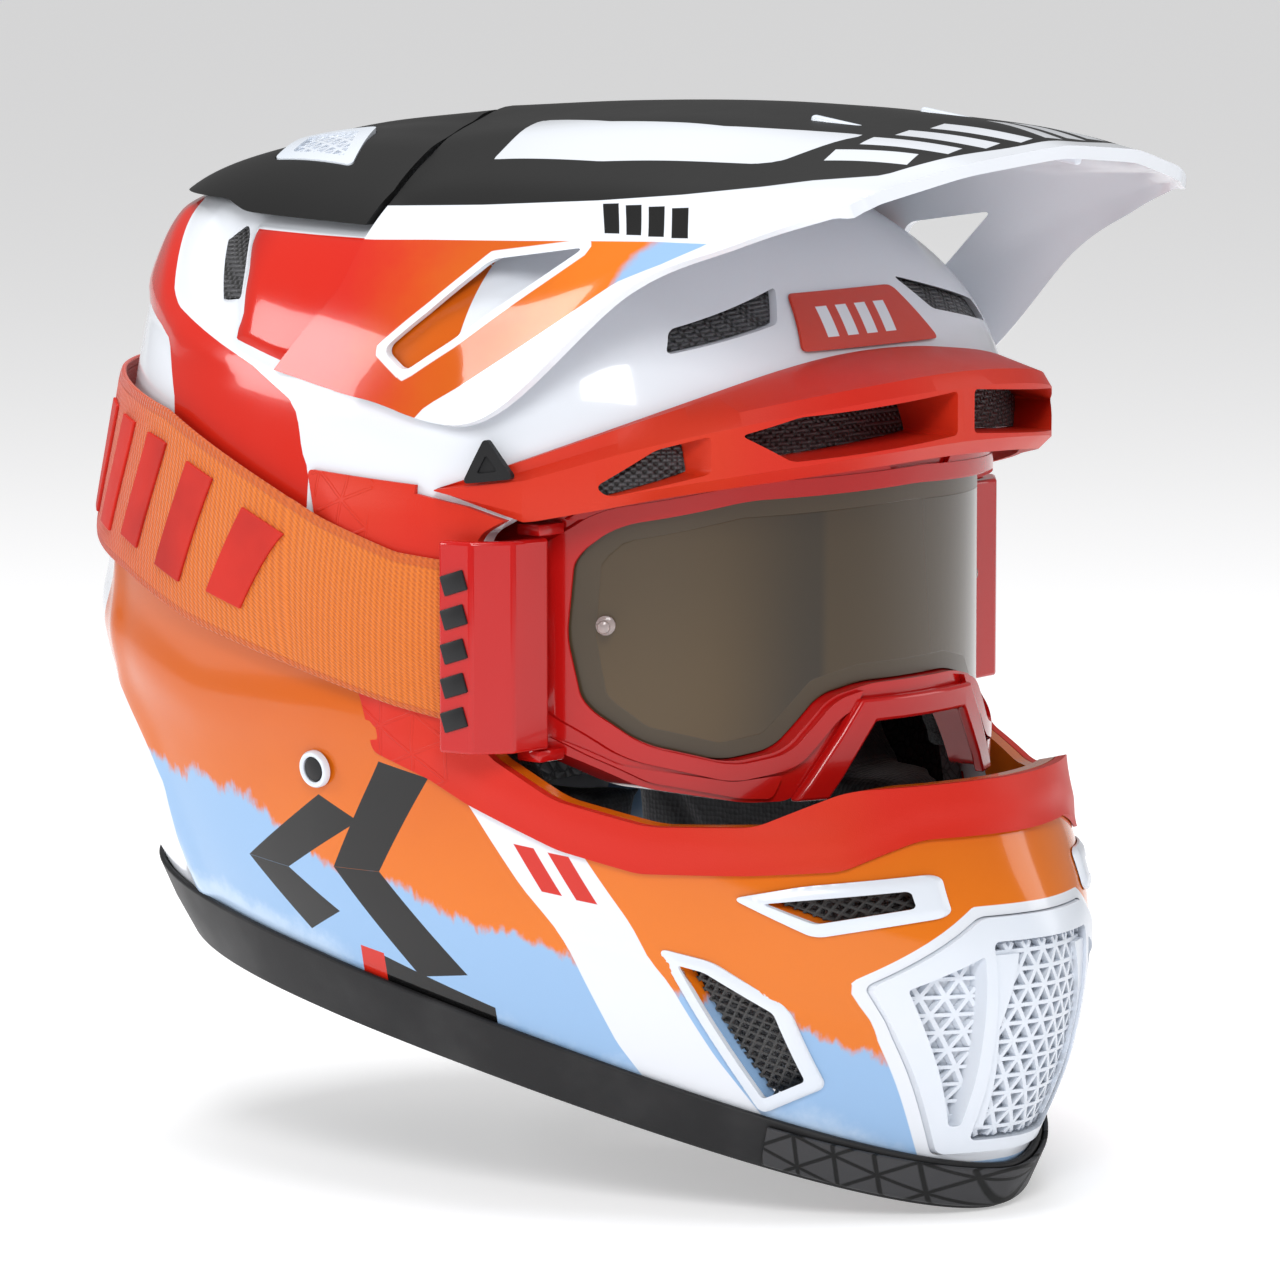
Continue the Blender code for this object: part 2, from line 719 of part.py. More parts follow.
def goggle_plate(name, front, back, surface, reach=76.5):
    """An upright curved plate between two setbacks from the front of the goggles."""
    turns = [math.radians(reach * (k / 12 - 1)) for k in range(25)]
    xs = [GOGGLE_RADIUS * math.sin(a) for a in turns]
    ring = [(x, goggle_face(x, front)) for x in xs] + [(x, goggle_face(x, back)) for x in reversed(xs)]
    return loft(name, [[(x, y, z) for x, y in ring] for z in (-60, 90)], surface)


def goggle_frame():
    made = goggle_plate("goggle_frame", 0, 12, material("goggle_red", (0.62, 0.02, 0.015), 0.18), 78)
    crop(made, front_prism(whole(FRAME_OUTER), -200, -30))
    cut(made, front_prism(whole(FRAME_INNER), -200, -30))
    x, y = HINGE
    for sign in (1, -1):
        for low, high in ((46.4, 50), (-20, -16.4)):
            ends = sorted((sign * 92, sign * (x + 2)))
            join(made, block((ends[0], y - 3, low), (ends[1], y + 6, high)))
    return made


def goggle_lens():
    made = goggle_plate("goggle_lens", 4, 5.8, material("bronze_lens", (0.16, 0.11, 0.06), 0.08, 0.0, 0.6))
    return crop(made, front_prism(grown(whole(FRAME_INNER), -GAP), -200, -30))


def goggle_foam():
    made = goggle_plate("goggle_foam", 12 + GAP, 22, black_foam())
    crop(made, front_prism(grown(whole(FRAME_OUTER), -3), -200, 0))
    return cut(made, front_prism(grown(whole(FRAME_INNER), 1), -200, 0))


def nose_guard():
    made = goggle_plate("nose_guard", -4, -GAP, red_plastic())
    return crop(made, front_prism(NOSE_GUARD, -200, -30))


def outrigger():
    """Arm between the goggle frame and the strap, hinged at its front edge."""
    x, y = HINGE
    inner = [(x - 2, y - 0.5), (113.5, -73), (121, -67), (122.8, -58.8)]
    outer = [(x - 1, y - 4), (115, -77.5), (124.8, -69.5), (127, -58.8)]
    ring = inner + outer[::-1]
    made = loft("outrigger_left", [[(px, py, z) for px, py in ring] for z in (-16, 46)],
                material("goggle_red", (0.62, 0.02, 0.015), 0.18))
    return made


def tear_off_post():
    x, z = 84, 19.5
    on_lens = Vector((x, goggle_face(x, 4), z))
    out = (on_lens - Vector((0, GOGGLE_AXIS_Y + 4, z))).normalized()
    centre = on_lens + out * (GAP + 3)
    surface = material("clear_plastic", (0.7, 0.7, 0.7), 0.1, 0, 0.5)
    return rod("tear_off_post_left", centre, out, 2.2, 6, surface, 12)


def goggle_strap():
    made = layer("goggle_strap", 3.4, 5.2, material("strap_elastic", (0.62, 0.14, 0.02), 0.8))
    return crop(made, side_prism(STRAP_TOP + STRAP_BOTTOM))


def strap_slider():
    """Length adjuster on the left of the goggle strap."""
    made = layer("strap_slider", 5.6, 7.4, black_rubber())
    return crop(made, side_prism(((84, 86), (92, 87), (92, 26), (84, 24)), 40, 200))


# ---------------------------------------------------------------- assembly

def clear_scene():
    for old in list(bpy.data.objects):
        bpy.data.objects.remove(old)


def pair(left):
    """The left-hand piece and its mirror image."""
    return [left, mirrored(left, left.name.replace("_left", "_right"))]


def make_pieces():
    outer_shell()
    impact_liner()
    chin_bar_foam()
    comfort_liner()
    neck_roll()
    eyeport_trim()
    brow_trim()
    base_trim()
    chin_pad()
    crown_fairing()
    mouth_vent_frame()
    mouth_grille()
    mouth_filter()
    forehead_badge()
    visor()
    goggle_frame()
    goggle_lens()
    goggle_foam()
    nose_guard()
    goggle_strap()
    strap_slider()
    buckle("buckle_socket", -22, -GAP / 2)
    buckle("buckle_tongue", GAP / 2, 22)
    strap = chin_strap("chin_strap_left", 1.6, 25)
    for left in (
        strap, side_foam(), cheek_pad(), release_tab(), strap_rivet(), brow_plug(),
        brow_mesh("brow_mesh_left", BROW_OPENINGS[0]), brow_mesh("brow_side_mesh_left", BROW_OPENINGS[1]),
        crown_vent(), visor_pivot(), outrigger(), tear_off_post(),
        vent_mesh("rear_vent_mesh_left", side_prism(grown(REAR_VENT, -GAP), 60, 160)),
        vent_mesh("forehead_vent_mesh_left", front_prism(grown(FOREHEAD_VENT, -GAP))),
        vent_mesh("slot_vent_mesh_left", side_prism(grown(SLOT_VENT, -GAP), 20, 200)),
        vent_mesh("chin_vent_mesh_left", side_prism(grown(CHIN_VENT, -GAP), 20, 200)),
        vent_frame("slot_vent_frame_left", SLOT_VENT, 4),
        vent_frame("chin_vent_frame_left", CHIN_VENT, 3.5),
    ):
        pair(left)


def place(pieces):
    """Moves the whole helmet so that its box stands on the origin."""
    corners = [p.matrix_world @ Vector(c) for p in pieces for c in p.bound_box]
    low = Vector([min(c[k] for c in corners) for k in range(3)])
    high = Vector([max(c[k] for c in corners) for k in range(3)])
    shift = Vector((0, -(low.y + high.y) / 2, -low.z))
    for piece in pieces:
        piece.location += shift
    return shift


def set_origin(piece, point):
    """Puts a moving piece's origin on its joint axis, leaving its shape in place."""
    step = Vector(point) * MM
    piece.data.transform(Matrix.Translation(-step))
    piece.location += step


def main():
    clear_scene()
    make_pieces()
    pieces = [o for o in bpy.context.scene.objects if o.type == "MESH"]
    set_origin(bpy.data.objects["visor"], (0, *VISOR_PIVOT))
    for sign, side in ((1, "left"), (-1, "right")):
        set_origin(bpy.data.objects["outrigger_" + side], (sign * HINGE[0], HINGE[1], 15))
    bpy.context.view_layer.update()
    print("shift_m", [round(v, 5) for v in place(pieces)])


main()
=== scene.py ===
"""Finished looks of a motocross helmet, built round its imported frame.

Shapes are worked out in millimetres about the middle of the head, with +X the
wearer's left, -Y the front and +Z up, and are placed on the frame when each piece
is delivered.
"""

import math

import bmesh
import bpy
import numpy as np
from bpy.props import FloatProperty, FloatVectorProperty, PointerProperty
from mathutils import Matrix, Vector
from mathutils.bvhtree import BVHTree
from mathutils.kdtree import KDTree


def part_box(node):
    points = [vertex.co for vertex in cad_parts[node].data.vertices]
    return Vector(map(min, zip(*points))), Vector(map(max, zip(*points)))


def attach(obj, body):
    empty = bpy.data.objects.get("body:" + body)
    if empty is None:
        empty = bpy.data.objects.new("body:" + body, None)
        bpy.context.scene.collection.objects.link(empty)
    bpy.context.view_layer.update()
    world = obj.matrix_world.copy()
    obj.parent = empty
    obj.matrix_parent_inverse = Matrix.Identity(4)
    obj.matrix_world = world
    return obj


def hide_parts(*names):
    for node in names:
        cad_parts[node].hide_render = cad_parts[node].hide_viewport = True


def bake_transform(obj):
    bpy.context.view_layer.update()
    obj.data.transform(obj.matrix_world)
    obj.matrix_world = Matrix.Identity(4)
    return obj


bl_info = {
    "name": "Motocross Helmet",
    "version": (1, 0, 0),
    "blender": (4, 5, 0),
    "location": "3D View > Sidebar > Helmet",
    "description": "Builds a motocross helmet with its visor, trims, pads and goggles",
    "category": "Add Mesh",
}

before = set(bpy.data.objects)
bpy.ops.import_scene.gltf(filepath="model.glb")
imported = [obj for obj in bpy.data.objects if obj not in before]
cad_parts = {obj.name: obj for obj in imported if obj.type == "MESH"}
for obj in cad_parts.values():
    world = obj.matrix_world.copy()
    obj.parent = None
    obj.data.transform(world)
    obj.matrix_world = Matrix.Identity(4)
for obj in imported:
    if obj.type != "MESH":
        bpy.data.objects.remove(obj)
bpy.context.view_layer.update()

VISOR_PIVOT = (-20, 98)
low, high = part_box("visor_pivot_left")
SHIFT = Vector((0, (low.y + high.y) * 500 - VISOR_PIVOT[0], (low.z + high.z) * 500 - VISOR_PIVOT[1]))
TO_FRAME = Matrix.Translation(SHIFT * 0.001) @ Matrix.Scale(0.001, 4)

# ------------------------------------------------------------ the helmet's form

# Rings of the shell from its lower edge to the crown: heights at the front, side and
# back, where the front, widest place and back lie along Y, half width, two exponents.
SHELL_RINGS = np.array((
    (-142, -91, -74, -170, 5, 121, 104, 1.72, 2.3),
    (-110, -62, -48, -184, 2, 133, 114, 1.70, 2.4),
    (-75, -33, -18, -187, 0, 141, 120, 1.72, 2.4),
    (-36, -8, 8, -171, -2, 143, 123, 1.78, 2.4),
    (5, 22, 32, -160, -2, 140, 124, 2.00, 2.4),
    (60, 58, 62, -137, 0, 133, 122, 2.35, 2.4),
    (90, 90, 92, -125, 2, 125, 117, 2.60, 2.5),
    (112, 116, 116, -109, 6, 121, 106, 2.80, 2.6),
    (131, 135, 133, -86, 9, 114, 89, 2.60, 2.7),
    (145, 147, 145, -54, 12, 94, 66, 2.40, 2.6),
    (154, 155, 153, -22, 15, 62, 38, 2.20, 2.4),
    (158, 159, 158, 13, 16, 19, 3, 2.00, 2.0),
), float)
ACROSS = (-260, 260)  # spans of the solids that cut openings
AHEAD = (-260, -60)
GOGGLE_DEPTH = (-200, -30)
RING_STEP = 32.0  # about how far apart the rings lie
CROWN = len(SHELL_RINGS) - 1

# Openings and trims in the side view, as (y, z).
EYEPORT = (
    (-230, 72), (-128, 71), (-115, 68), (-92, 59), (-76, 54), (-65, 47), (-61, 16),
    (-61, -8), (-66, -18), (-84, -30), (-109, -37), (-134, -37), (-152, -27), (-230, -24),
)
EYEPORT_TRIM = (
    (-46, 60.5), (-4, 63), (-8, 49), (-25, -4), (-28, -19), (-46, -26), (-58, -33),
    (-84, -45), (-106, -51), (-133, -51), (-153, -50), (-165, -42), (-230, -42), (-230, 50),
)
STRAP_TOP = ((-58, 39), (-39, 41), (-13, 49), (20, 62), (56, 76), (100, 84), (170, 88))
STRAP_BOTTOM = ((-58, -8), (-38, -4), (-2, 5), (42, 15), (76, 26), (111, 33), (170, 38))
SLOT_VENT = ((-137, -59), (-146, -58), (-167, -56), (-169, -61), (-149, -65))
CHIN_VENT = ((-114, -78), (-121, -80), (-137, -92), (-141, -113), (-129, -119))
REAR_VENT = ((56, 126), (49, 131), (41, 120), (37, 110), (46, 109))
VISOR_WINDOW = ((-28, 99), (-56, 126), (-90, 131), (-37, 93))
FAIRING = ((-20, 200), (-20, 133), (47, 135), (60, 138), (100, 138), (180, 141), (180, 200))

# Openings and trims in the front view, as (x, z), and in plan, as (x, y).
FOREHEAD_VENT = ((28, 116), (72, 106), (76, 99), (37, 106))
MOUTH_VENT = ((-52, -84), (-24, -65), (24, -65), (52, -84), (25, -137), (-25, -137))
MOUTH_GRILLE = ((-20, -74), (20, -74), (16, -131), (-16, -131))
MOUTH_SLOT = ((25, -76), (44, -85), (25, -128), (22, -128))
MOUTH_BLADE = ((13.5, -76), (21.5, -76), (22, -90), (17, -129), (14.5, -129), (18.5, -98))
BROW_OPENINGS = (
    ((4, 73.5), (62, 69), (74, 77), (60, 82), (4, 86.5)),
    ((80, 66), (98, 59), (100, 62), (90, 73), (80, 77)),
)
BROW_SPREAD = math.radians(72)
BADGE = ((-34, 98), (30, 98), (22, 114), (-26, 114))
FRAME_OUTER = (
    (0, 68), (-20, 67), (-43, 66), (-70, 61), (-92, 54), (-97, 47), (-98, 16), (-97, -14),
    (-90, -20), (-80, -28), (-58, -33), (-46, -33), (-24, -11), (0, -11),
)
FRAME_INNER = (
    (0, 58), (-57, 56), (-84, 49), (-90, 40), (-91, 16), (-89, -4), (-80, -15), (-62, -21),
    (-48, -18), (-34, -3), (-20, 0), (0, 0),
)
FRAME_WING = (
    (-92, 50), (-70, 57), (-30, 61.5), (-12, 61.5), (-16, 66), (-43, 64.5), (-70, 59.5),
    (-90, 53),
)
FRAME_JAW = (
    (-94, -13), (-84, -21.5), (-62, -26.5), (-49, -25), (-52, -32), (-60, -31.5),
    (-79, -26.5), (-89, -18.5),
)
BADGE_MARKS = tuple(
    ((k - 21, 101.5), (k - 16, 101.5), (k - 14, 110), (k - 19, 110)) for k in (0, 9, 18, 27)
)
CROWN_VENT = ((67, 60), (38, 74), (40, 42), (74, 22))
SEAM_PLAN = (
    (0, 25.2), (50, 6.2), (84.5, -4.3), (140, -5), (140, 180), (-140, 180), (-140, -5),
    (-84.5, -4.3), (-50, 6.2),
)
RIVET_RING = ((3.9, 0), (5.6, 0), (5.6, 1.4), (5.2, 2.0), (4.4, 2.1), (3.9, 1.7), (3.9, 0))
RIVET_CAP = ((0, 0), (3.8, 0), (3.8, 1.0), (3.4, 1.6), (2.0, 2.0), (0, 2.1))
VISOR_STATIONS = (
    ((0, 24, 164.2), (50, 5, 156.8), (84.5, -5.5, 142), None, None),
    ((0, -28, 167.5), (48, -38, 162.5), (86, -42, 146), (109, -40, 113), (117.5, -24, 84)),
    ((0, -80, 169), (46, -84, 165), (87, -84, 147.5), (107, -76, 115), (117, -66, 81)),
    ((0, -122, 168), (45, -122, 163.5), (87, -120, 148), (101, -114, 131), (108, -113, 120)),
    ((0, -160, 165.5), (43, -158, 161), (84, -152, 149), (91, -148, 141), (96, -144, 134)),
    ((0, -190, 160), (41, -186, 156.5), (71, -178, 150), (77, -176, 148), (81, -174, 146)),
)

# Painted areas of the shell in the side view.
REAR_PANEL = (
    (87, 136), (84.7, 131.7), (79.3, 123.2), (75.6, 116.9), (71.9, 110.3), (66.3, 106.2),
    (38.3, 96.4), (24.4, 91.7), (7.6, 83.2), (4.1, 80.6), (1.7, 74.6), (0, 68), (-3.4, 62),
    (-3.4, 30), (56, 45), (58.3, 69.4), (60.2, 79.5), (67.8, 96), (75.6, 99.8),
    (89.5, 104.2), (135, 110), (135, 136),
)
SEAM_PANEL = (
    (41.5, 130.3), (13, 129.7), (-14, 129.5), (-14, 100), (7, 92.4), (32.2, 98.7),
    (32, 106.3), (35, 117), (40.5, 126.5),
)
VENT_HOLLOW = ((66, 133), (44, 132), (38, 118), (34, 103), (46, 104), (58, 113), (66, 122))
WINDOW_BACK = ((-24, 97), (-50, 130), (-50, 104), (-36, 88))
LOWER_BAND = (
    (96, 60), (95.7, 27.2), (107.5, 6.3), (103.4, -2), (90.6, -12.2), (80.5, -22),
    (75, -28.4), (68.3, -39.3), (66.3, -51.4), (65.7, -66.5), (60, -100), (0, -140),
    (-230, -180), (-230, 10), (-50, 30), (-3, 40), (40, 55),
)
TORN_LINE = (
    (100, -22), (74.7, -27.8), (66, -31), (56.5, -35.5), (50.7, -32), (42, -37),
    (33.4, -38.3), (24.3, -41.7), (15.5, -44), (8.5, -47.7), (1.6, -51.4), (-4.6, -54.6),
    (-15, -58.6), (-22, -55.7), (-31.4, -59.3), (-39.5, -63), (-47, -67.8), (-53.5, -70.6),
    (-62.5, -72), (-72.3, -74.6), (-79.5, -75.8), (-110, -84), (-136, -89.7),
    (-144.7, -93.2), (-148.3, -97), (-156.7, -101.2), (-175, -112),
)
STRIPE = (
    (-52, -25), (-59.8, -37.6), (-71, -57), (-81.5, -71.3), (-87, -90), (-91, -103.8),
    (-97.3, -116), (-106, -135), (-135, -142), (-126.9, -125.4), (-118.1, -106.4),
    (-110.1, -84.7), (-100.7, -64.7), (-90.2, -46.5), (-80, -30),
)
CHEVRONS = (
    ((-5, -34), (-19, -41), (12, -58), (29, -56)),
    ((29, -56), (12, -58), (-6, -70), (8, -77)),
    ((-29, -22), (-45, -26), (-24, -56), (-7, -56)),
    ((-7, -56), (-24, -56), (-48, -86), (-31, -88)),
)
TAG = ((-11, -81.6), (-18.7, -82.4), (-54.7, -95.6), (-53.8, -106), (-10.7, -91))
TAG_SQUARE = ((-11, -80), (-19.3, -81.8), (-17.6, -96), (-9, -94))
STRIPE_MARKS = (
    ((-70, -44), (-76, -45), (-83, -59), (-77, -58)),
    ((-80, -46), (-86, -47), (-93, -61), (-87, -60)),
)

# Painted areas of the visor, in the side view and (for the deck's inlay and marks) in plan.
DECK = (
    (40, 137), (-11, 139), (-44, 140.8), (-88, 144), (-118, 146.9), (-143, 150),
    (-155, 151.9), (-171, 153.4), (-174, 155.5), (-179.4, 158.5), (-183, 159.7),
    (-186, 165), (-186, 190), (40, 190),
)
DECK_INLAY = (
    (68.7, -29.7), (37.5, -21.9), (45, -55), (46, -100), (37, -146), (64, -135),
    (67, -128), (71.5, -73.5),
)
DECK_MARKS = (
    ((60, -148), (52, -146), (44, -170), (52, -172)),
    ((46, -150), (38, -149), (30, -175), (38, -176)),
    ((32, -152), (24, -151), (16, -178), (24, -179)),
    ((18, -154), (10, -153), (3, -180), (10, -181)),
)
VISOR_BAND = (
    (40, 129.5), (-9.2, 129.5), (-64.4, 131.6), (-117, 134), (-136, 134.2), (-123, 128),
    (-108.4, 122.3), (-89.6, 110.6), (-68.5, 97.5), (-46, 83.5), (-34, 70), (40, 70),
)
VISOR_FRONT = ((-117.3, 133.7), (-107.7, 122.6), (-104, 110), (-180, 100), (-180, 160), (-124, 140))
BAND_MARKS = tuple(
    ((-90 - k, 143.2), (-96 - k, 143.6), (-101.5 - k, 135.4), (-95.5 - k, 135.2))
    for k in (0, 9, 18, 27)
)


def smooth_rows(rows, t):
    """Rows at fractional places t on Catmull-Rom curves, in a straight line below 0."""
    rows = np.asarray(rows, float)
    t = np.asarray(t, float)
    last = len(rows) - 1
    i = np.clip(t.astype(int), 0, last - 1)
    f = (t - i).reshape(t.shape + (1,) * (rows.ndim - 1))
    ends = np.concatenate([[2 * rows[0] - rows[1]], rows, [2 * rows[-1] - rows[-2]]])
    before, a, b, after = (ends[i + k] for k in range(4))
    curve = 0.5 * (2 * a + (b - before) * f + (2 * before - 5 * a + 4 * b - after) * f * f
                   + (3 * a - before - 3 * b + after) * f ** 3)
    return np.where(f < 0, a + (b - a) * f, curve)


def bare_skin(t, angle):
    """Points of the shell's surface. Angle 0 is the back, 90 degrees the left, 180 the front."""
    t, angle = np.broadcast_arrays(np.asarray(t, float), np.asarray(angle, float))
    zf, zm, zb, yf, ym, yb, half, nf, nb = np.moveaxis(smooth_rows(SHELL_RINGS, t), -1, 0)
    s, c = np.sin(angle), np.cos(angle)
    power = 2 / np.where(c > 0, nb, nf)
    x = half * np.copysign(np.abs(s) ** power, s)
    reach = np.abs(c) ** power
    y = np.where(c > 0, ym + (yb - ym) * reach, ym - (ym - yf) * reach)
    z = (zf * (y - ym) * (y - yb) / ((yf - ym) * (yf - yb))
         + zm * (y - yf) * (y - yb) / ((ym - yf) * (ym - yb))
         + zb * (y - yf) * (y - ym) / ((yb - yf) * (yb - ym)))
    return np.stack([x, y, z], -1)


def skin(t, angle, offset=0.0):
    """Points that stand offset out from the shell's surface."""
    t, angle = np.asarray(t, float), np.asarray(angle, float)
    up = bare_skin(t + 0.03, angle) - bare_skin(t - 0.03, angle)
    along = bare_skin(t, angle + 0.02) - bare_skin(t, angle - 0.02)
    out = np.cross(up, along)
    out /= np.linalg.norm(out, axis=-1, keepdims=True)
    return bare_skin(t, angle) + np.asarray(offset)[..., None] * out


def level_at(z, angle):
    """The ring number where the shell has this height at this angle."""
    levels = np.linspace(0, CROWN, 120)
    return float(np.interp(z, bare_skin(levels, angle)[:, 2], levels))


def skin_width(y, z, offset=0.0):
    """x of the shell's left side at a place in the side view."""
    turns = np.linspace(0.02, math.pi - 0.02, 90)
    ys = [bare_skin(level_at(z, a), a)[1] for a in turns]
    turn = float(np.interp(-y, [-v for v in ys], turns))
    return float(skin(level_at(z, turn), turn, offset)[0])


def smooth(value):
    value = np.clip(value, 0, 1)
    return value * value * (3 - 2 * value)


def depth_in(outline, points):
    """How far flat points lie inside an outline, less than 0 outside it."""
    corners = np.asarray(outline, float)
    nearest = np.full(len(points), 1e9)
    inside = np.zeros(len(points), bool)
    for a, b in zip(corners, np.roll(corners, -1, 0)):
        run = b - a
        along = np.clip(((points - a) @ run) / (run @ run), 0, 1)
        nearest = np.minimum(nearest, np.linalg.norm(points - a - along[:, None] * run, axis=1))
        rise = b[1] - a[1]
        if rise:
            crossing = a[0] + (points[:, 1] - a[1]) / rise * run[0]
            inside ^= ((a[1] > points[:, 1]) != (b[1] > points[:, 1])) & (points[:, 0] < crossing)
    return np.where(inside, nearest, -nearest)


def distance_to_line(line, points):
    """How far flat points lie from an open line."""
    corners = np.asarray(line, float)
    nearest = np.full(len(points), 1e9)
    for a, b in zip(corners, corners[1:]):
        run = b - a
        along = np.clip(((points - a) @ run) / (run @ run), 0, 1)
        nearest = np.minimum(nearest, np.linalg.norm(points - a - along[:, None] * run, axis=1))
    return nearest


def flat(points, view):
    """Points as seen from the side, the front or above, with both sides folded together."""
    x, y, z = np.asarray(points, float).T
    return np.stack({"side": (y, z), "front": (np.abs(x), z), "top": (np.abs(x), y)}[view], -1)


def grown(outline, distance):
    """The outline moved out by a distance (in when negative), with mitred corners."""
    points = [Vector(p) for p in outline]
    area = sum(a.cross(b) for a, b in zip(points, points[1:] + points[:1]))
    sign = 1 if area > 0 else -1
    moved = []
    for i, here in enumerate(points):
        into = (here - points[i - 1]).normalized()
        out = (points[(i + 1) % len(points)] - here).normalized()
        normals = [Vector((d.y, -d.x)) * sign for d in (into, out)]
        middle = (normals[0] + normals[1]).normalized()
        moved.append(tuple(here + middle * distance / max(middle.dot(normals[0]), 0.5)))
    return moved


def whole(half_outline):
    """A closed outline from its half, listed from the top middle to the bottom one."""
    return list(half_outline) + [(-x, z) for x, z in reversed(half_outline) if x != 0]


def mirror_outline(outline):
    return [(-a, b) for a, b in outline]


# ------------------------------------------------------------------ mesh making


def wall(across, along, place, closed=False, thick=True):
    """A wall made from a grid. place(u, v, side) gives the points, side 0 inside and 1 outside."""
    bm = bmesh.new()
    bmesh.ops.create_grid(bm, x_segments=across, y_segments=along, size=0.5)
    if closed:
        for v in bm.verts:
            turn = 2 * math.pi * (v.co.x + 0.5)
            v.co = (math.cos(turn), math.sin(turn), v.co.y)
        bmesh.ops.remove_doubles(bm, verts=bm.verts, dist=1e-5)
        rim = [e for e in bm.edges if e.is_boundary and e.verts[0].co.z > 0.49]
        bmesh.ops.contextual_create(bm, geom=rim)
    outer = set()
    if thick:
        made = bmesh.ops.extrude_face_region(bm, geom=bm.faces[:])
        outer = {e for e in made["geom"] if isinstance(e, bmesh.types.BMVert)}
    spots = np.array([v.co for v in bm.verts])
    if closed:
        u = np.arctan2(spots[:, 1], spots[:, 0]) / (2 * math.pi) % 1
        v = spots[:, 2] + 0.5
    else:
        u, v = spots[:, 0] + 0.5, spots[:, 1] + 0.5
    side = np.array([x in outer for x in bm.verts], float)
    placed = place(u, v, side)
    for vert, spot in zip(bm.verts, placed):
        vert.co = spot
    bmesh.ops.recalc_face_normals(bm, faces=bm.faces)
    return bm


def skin_wall(inner, outer, levels=(0, CROWN), turn=(0, 360), cell=3.0, relief=None):
    """A wall that follows the shell between two offsets, over a range of rings and degrees."""
    closed = turn == (0, 360)
    start, end = (math.radians(a) for a in turn)
    across = max(int((end - start) * 130 / cell), 8)
    along = max(int((levels[1] - levels[0]) * RING_STEP / cell), 4)

    def place(u, v, side):
        t, angle = levels[0] + v * (levels[1] - levels[0]), start + u * (end - start)
        lift = np.zeros(len(u))
        if relief:
            lift = relief(bare_skin(t, angle)) * side
        return skin(t, angle, inner + (outer - inner) * side + lift)

    return wall(across, along, place, closed)


def skin_solid(offset, levels=(3, CROWN)):
    """A solid of what is inside the shell's surface, moved out by offset."""

    def place(u, v, side):
        return skin(levels[0] + v * (levels[1] - levels[0]), u * 2 * math.pi, offset)

    bm = wall(180, 56, place, closed=True, thick=False)
    bmesh.ops.contextual_create(bm, geom=[e for e in bm.edges if e.is_boundary])
    bmesh.ops.recalc_face_normals(bm, faces=bm.faces)
    return bm


def prism(outline, view, low, high, round_by=0.0):
    """A solid with an outline seen from the side, the front or above."""
    order = {"side": lambda a, b, c: (c, a, b), "front": lambda a, b, c: (a, c, b),
             "top": lambda a, b, c: (a, b, c)}[view]
    bm = bmesh.new()
    bm.faces.new([bm.verts.new(order(a, b, low)) for a, b in outline])
    if round_by:
        bmesh.ops.bevel(bm, geom=bm.verts[:], offset=round_by, offset_type="OFFSET", segments=5,
                        profile=0.5, affect="VERTICES", material=-1, clamp_overlap=True)
    made = bmesh.ops.extrude_face_region(bm, geom=bm.faces[:])
    moved = [e for e in made["geom"] if isinstance(e, bmesh.types.BMVert)]
    bmesh.ops.translate(bm, verts=moved, vec=Vector(order(0, 0, high - low)))
    bmesh.ops.recalc_face_normals(bm, faces=bm.faces)
    return bm


def gather(*parts):
    """Several bmeshes in one. They are used up."""
    made = bmesh.new()
    for part in parts:
        mesh = bpy.data.meshes.new("part")
        part.to_mesh(mesh)
        part.free()
        made.from_mesh(mesh)
        bpy.data.meshes.remove(mesh)
    return made


def boolean(solid, tool, operation):
    """The solid after an exact Boolean with a tool. Both are used up."""
    objects = []
    for part in (solid, tool):
        mesh = bpy.data.meshes.new("work")
        part.to_mesh(mesh)
        part.free()
        objects.append(bpy.data.objects.new("work", mesh))
        bpy.context.scene.collection.objects.link(objects[-1])
    step = objects[0].modifiers.new("cut", "BOOLEAN")
    step.operation = operation
    step.solver = "EXACT"
    step.use_self = False
    step.object = objects[1]
    bpy.context.view_layer.update()
    seen = objects[0].evaluated_get(bpy.context.evaluated_depsgraph_get())
    result = bmesh.new()
    result.from_mesh(seen.to_mesh())
    seen.to_mesh_clear()
    for made in objects:
        mesh = made.data
        bpy.data.objects.remove(made)
        bpy.data.meshes.remove(mesh)
    bmesh.ops.remove_doubles(result, verts=result.verts, dist=0.03)
    bmesh.ops.dissolve_degenerate(result, edges=result.edges, dist=0.02)
    return result


def cut(solid, *tools):
    return boolean(solid, gather(*tools), "DIFFERENCE")


def crop(solid, tool):
    return boolean(solid, tool, "INTERSECT")


def mirrored(bm):
    """A copy of a left-hand piece for the right-hand side."""
    made = bm.copy()
    bmesh.ops.scale(made, verts=made.verts, vec=(-1, 1, 1))
    bmesh.ops.reverse_faces(made, faces=made.faces)
    return made


def of_node(node):
    """A merged copy of a CAD node's mesh, in millimetres."""
    bm = bmesh.new()
    bm.from_mesh(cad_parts[node].data)
    bmesh.ops.transform(bm, matrix=TO_FRAME.inverted(), verts=bm.verts)
    bmesh.ops.remove_doubles(bm, verts=bm.verts, dist=0.02)
    bmesh.ops.dissolve_limit(bm, angle_limit=math.radians(1), verts=bm.verts, edges=bm.edges)
    return bm


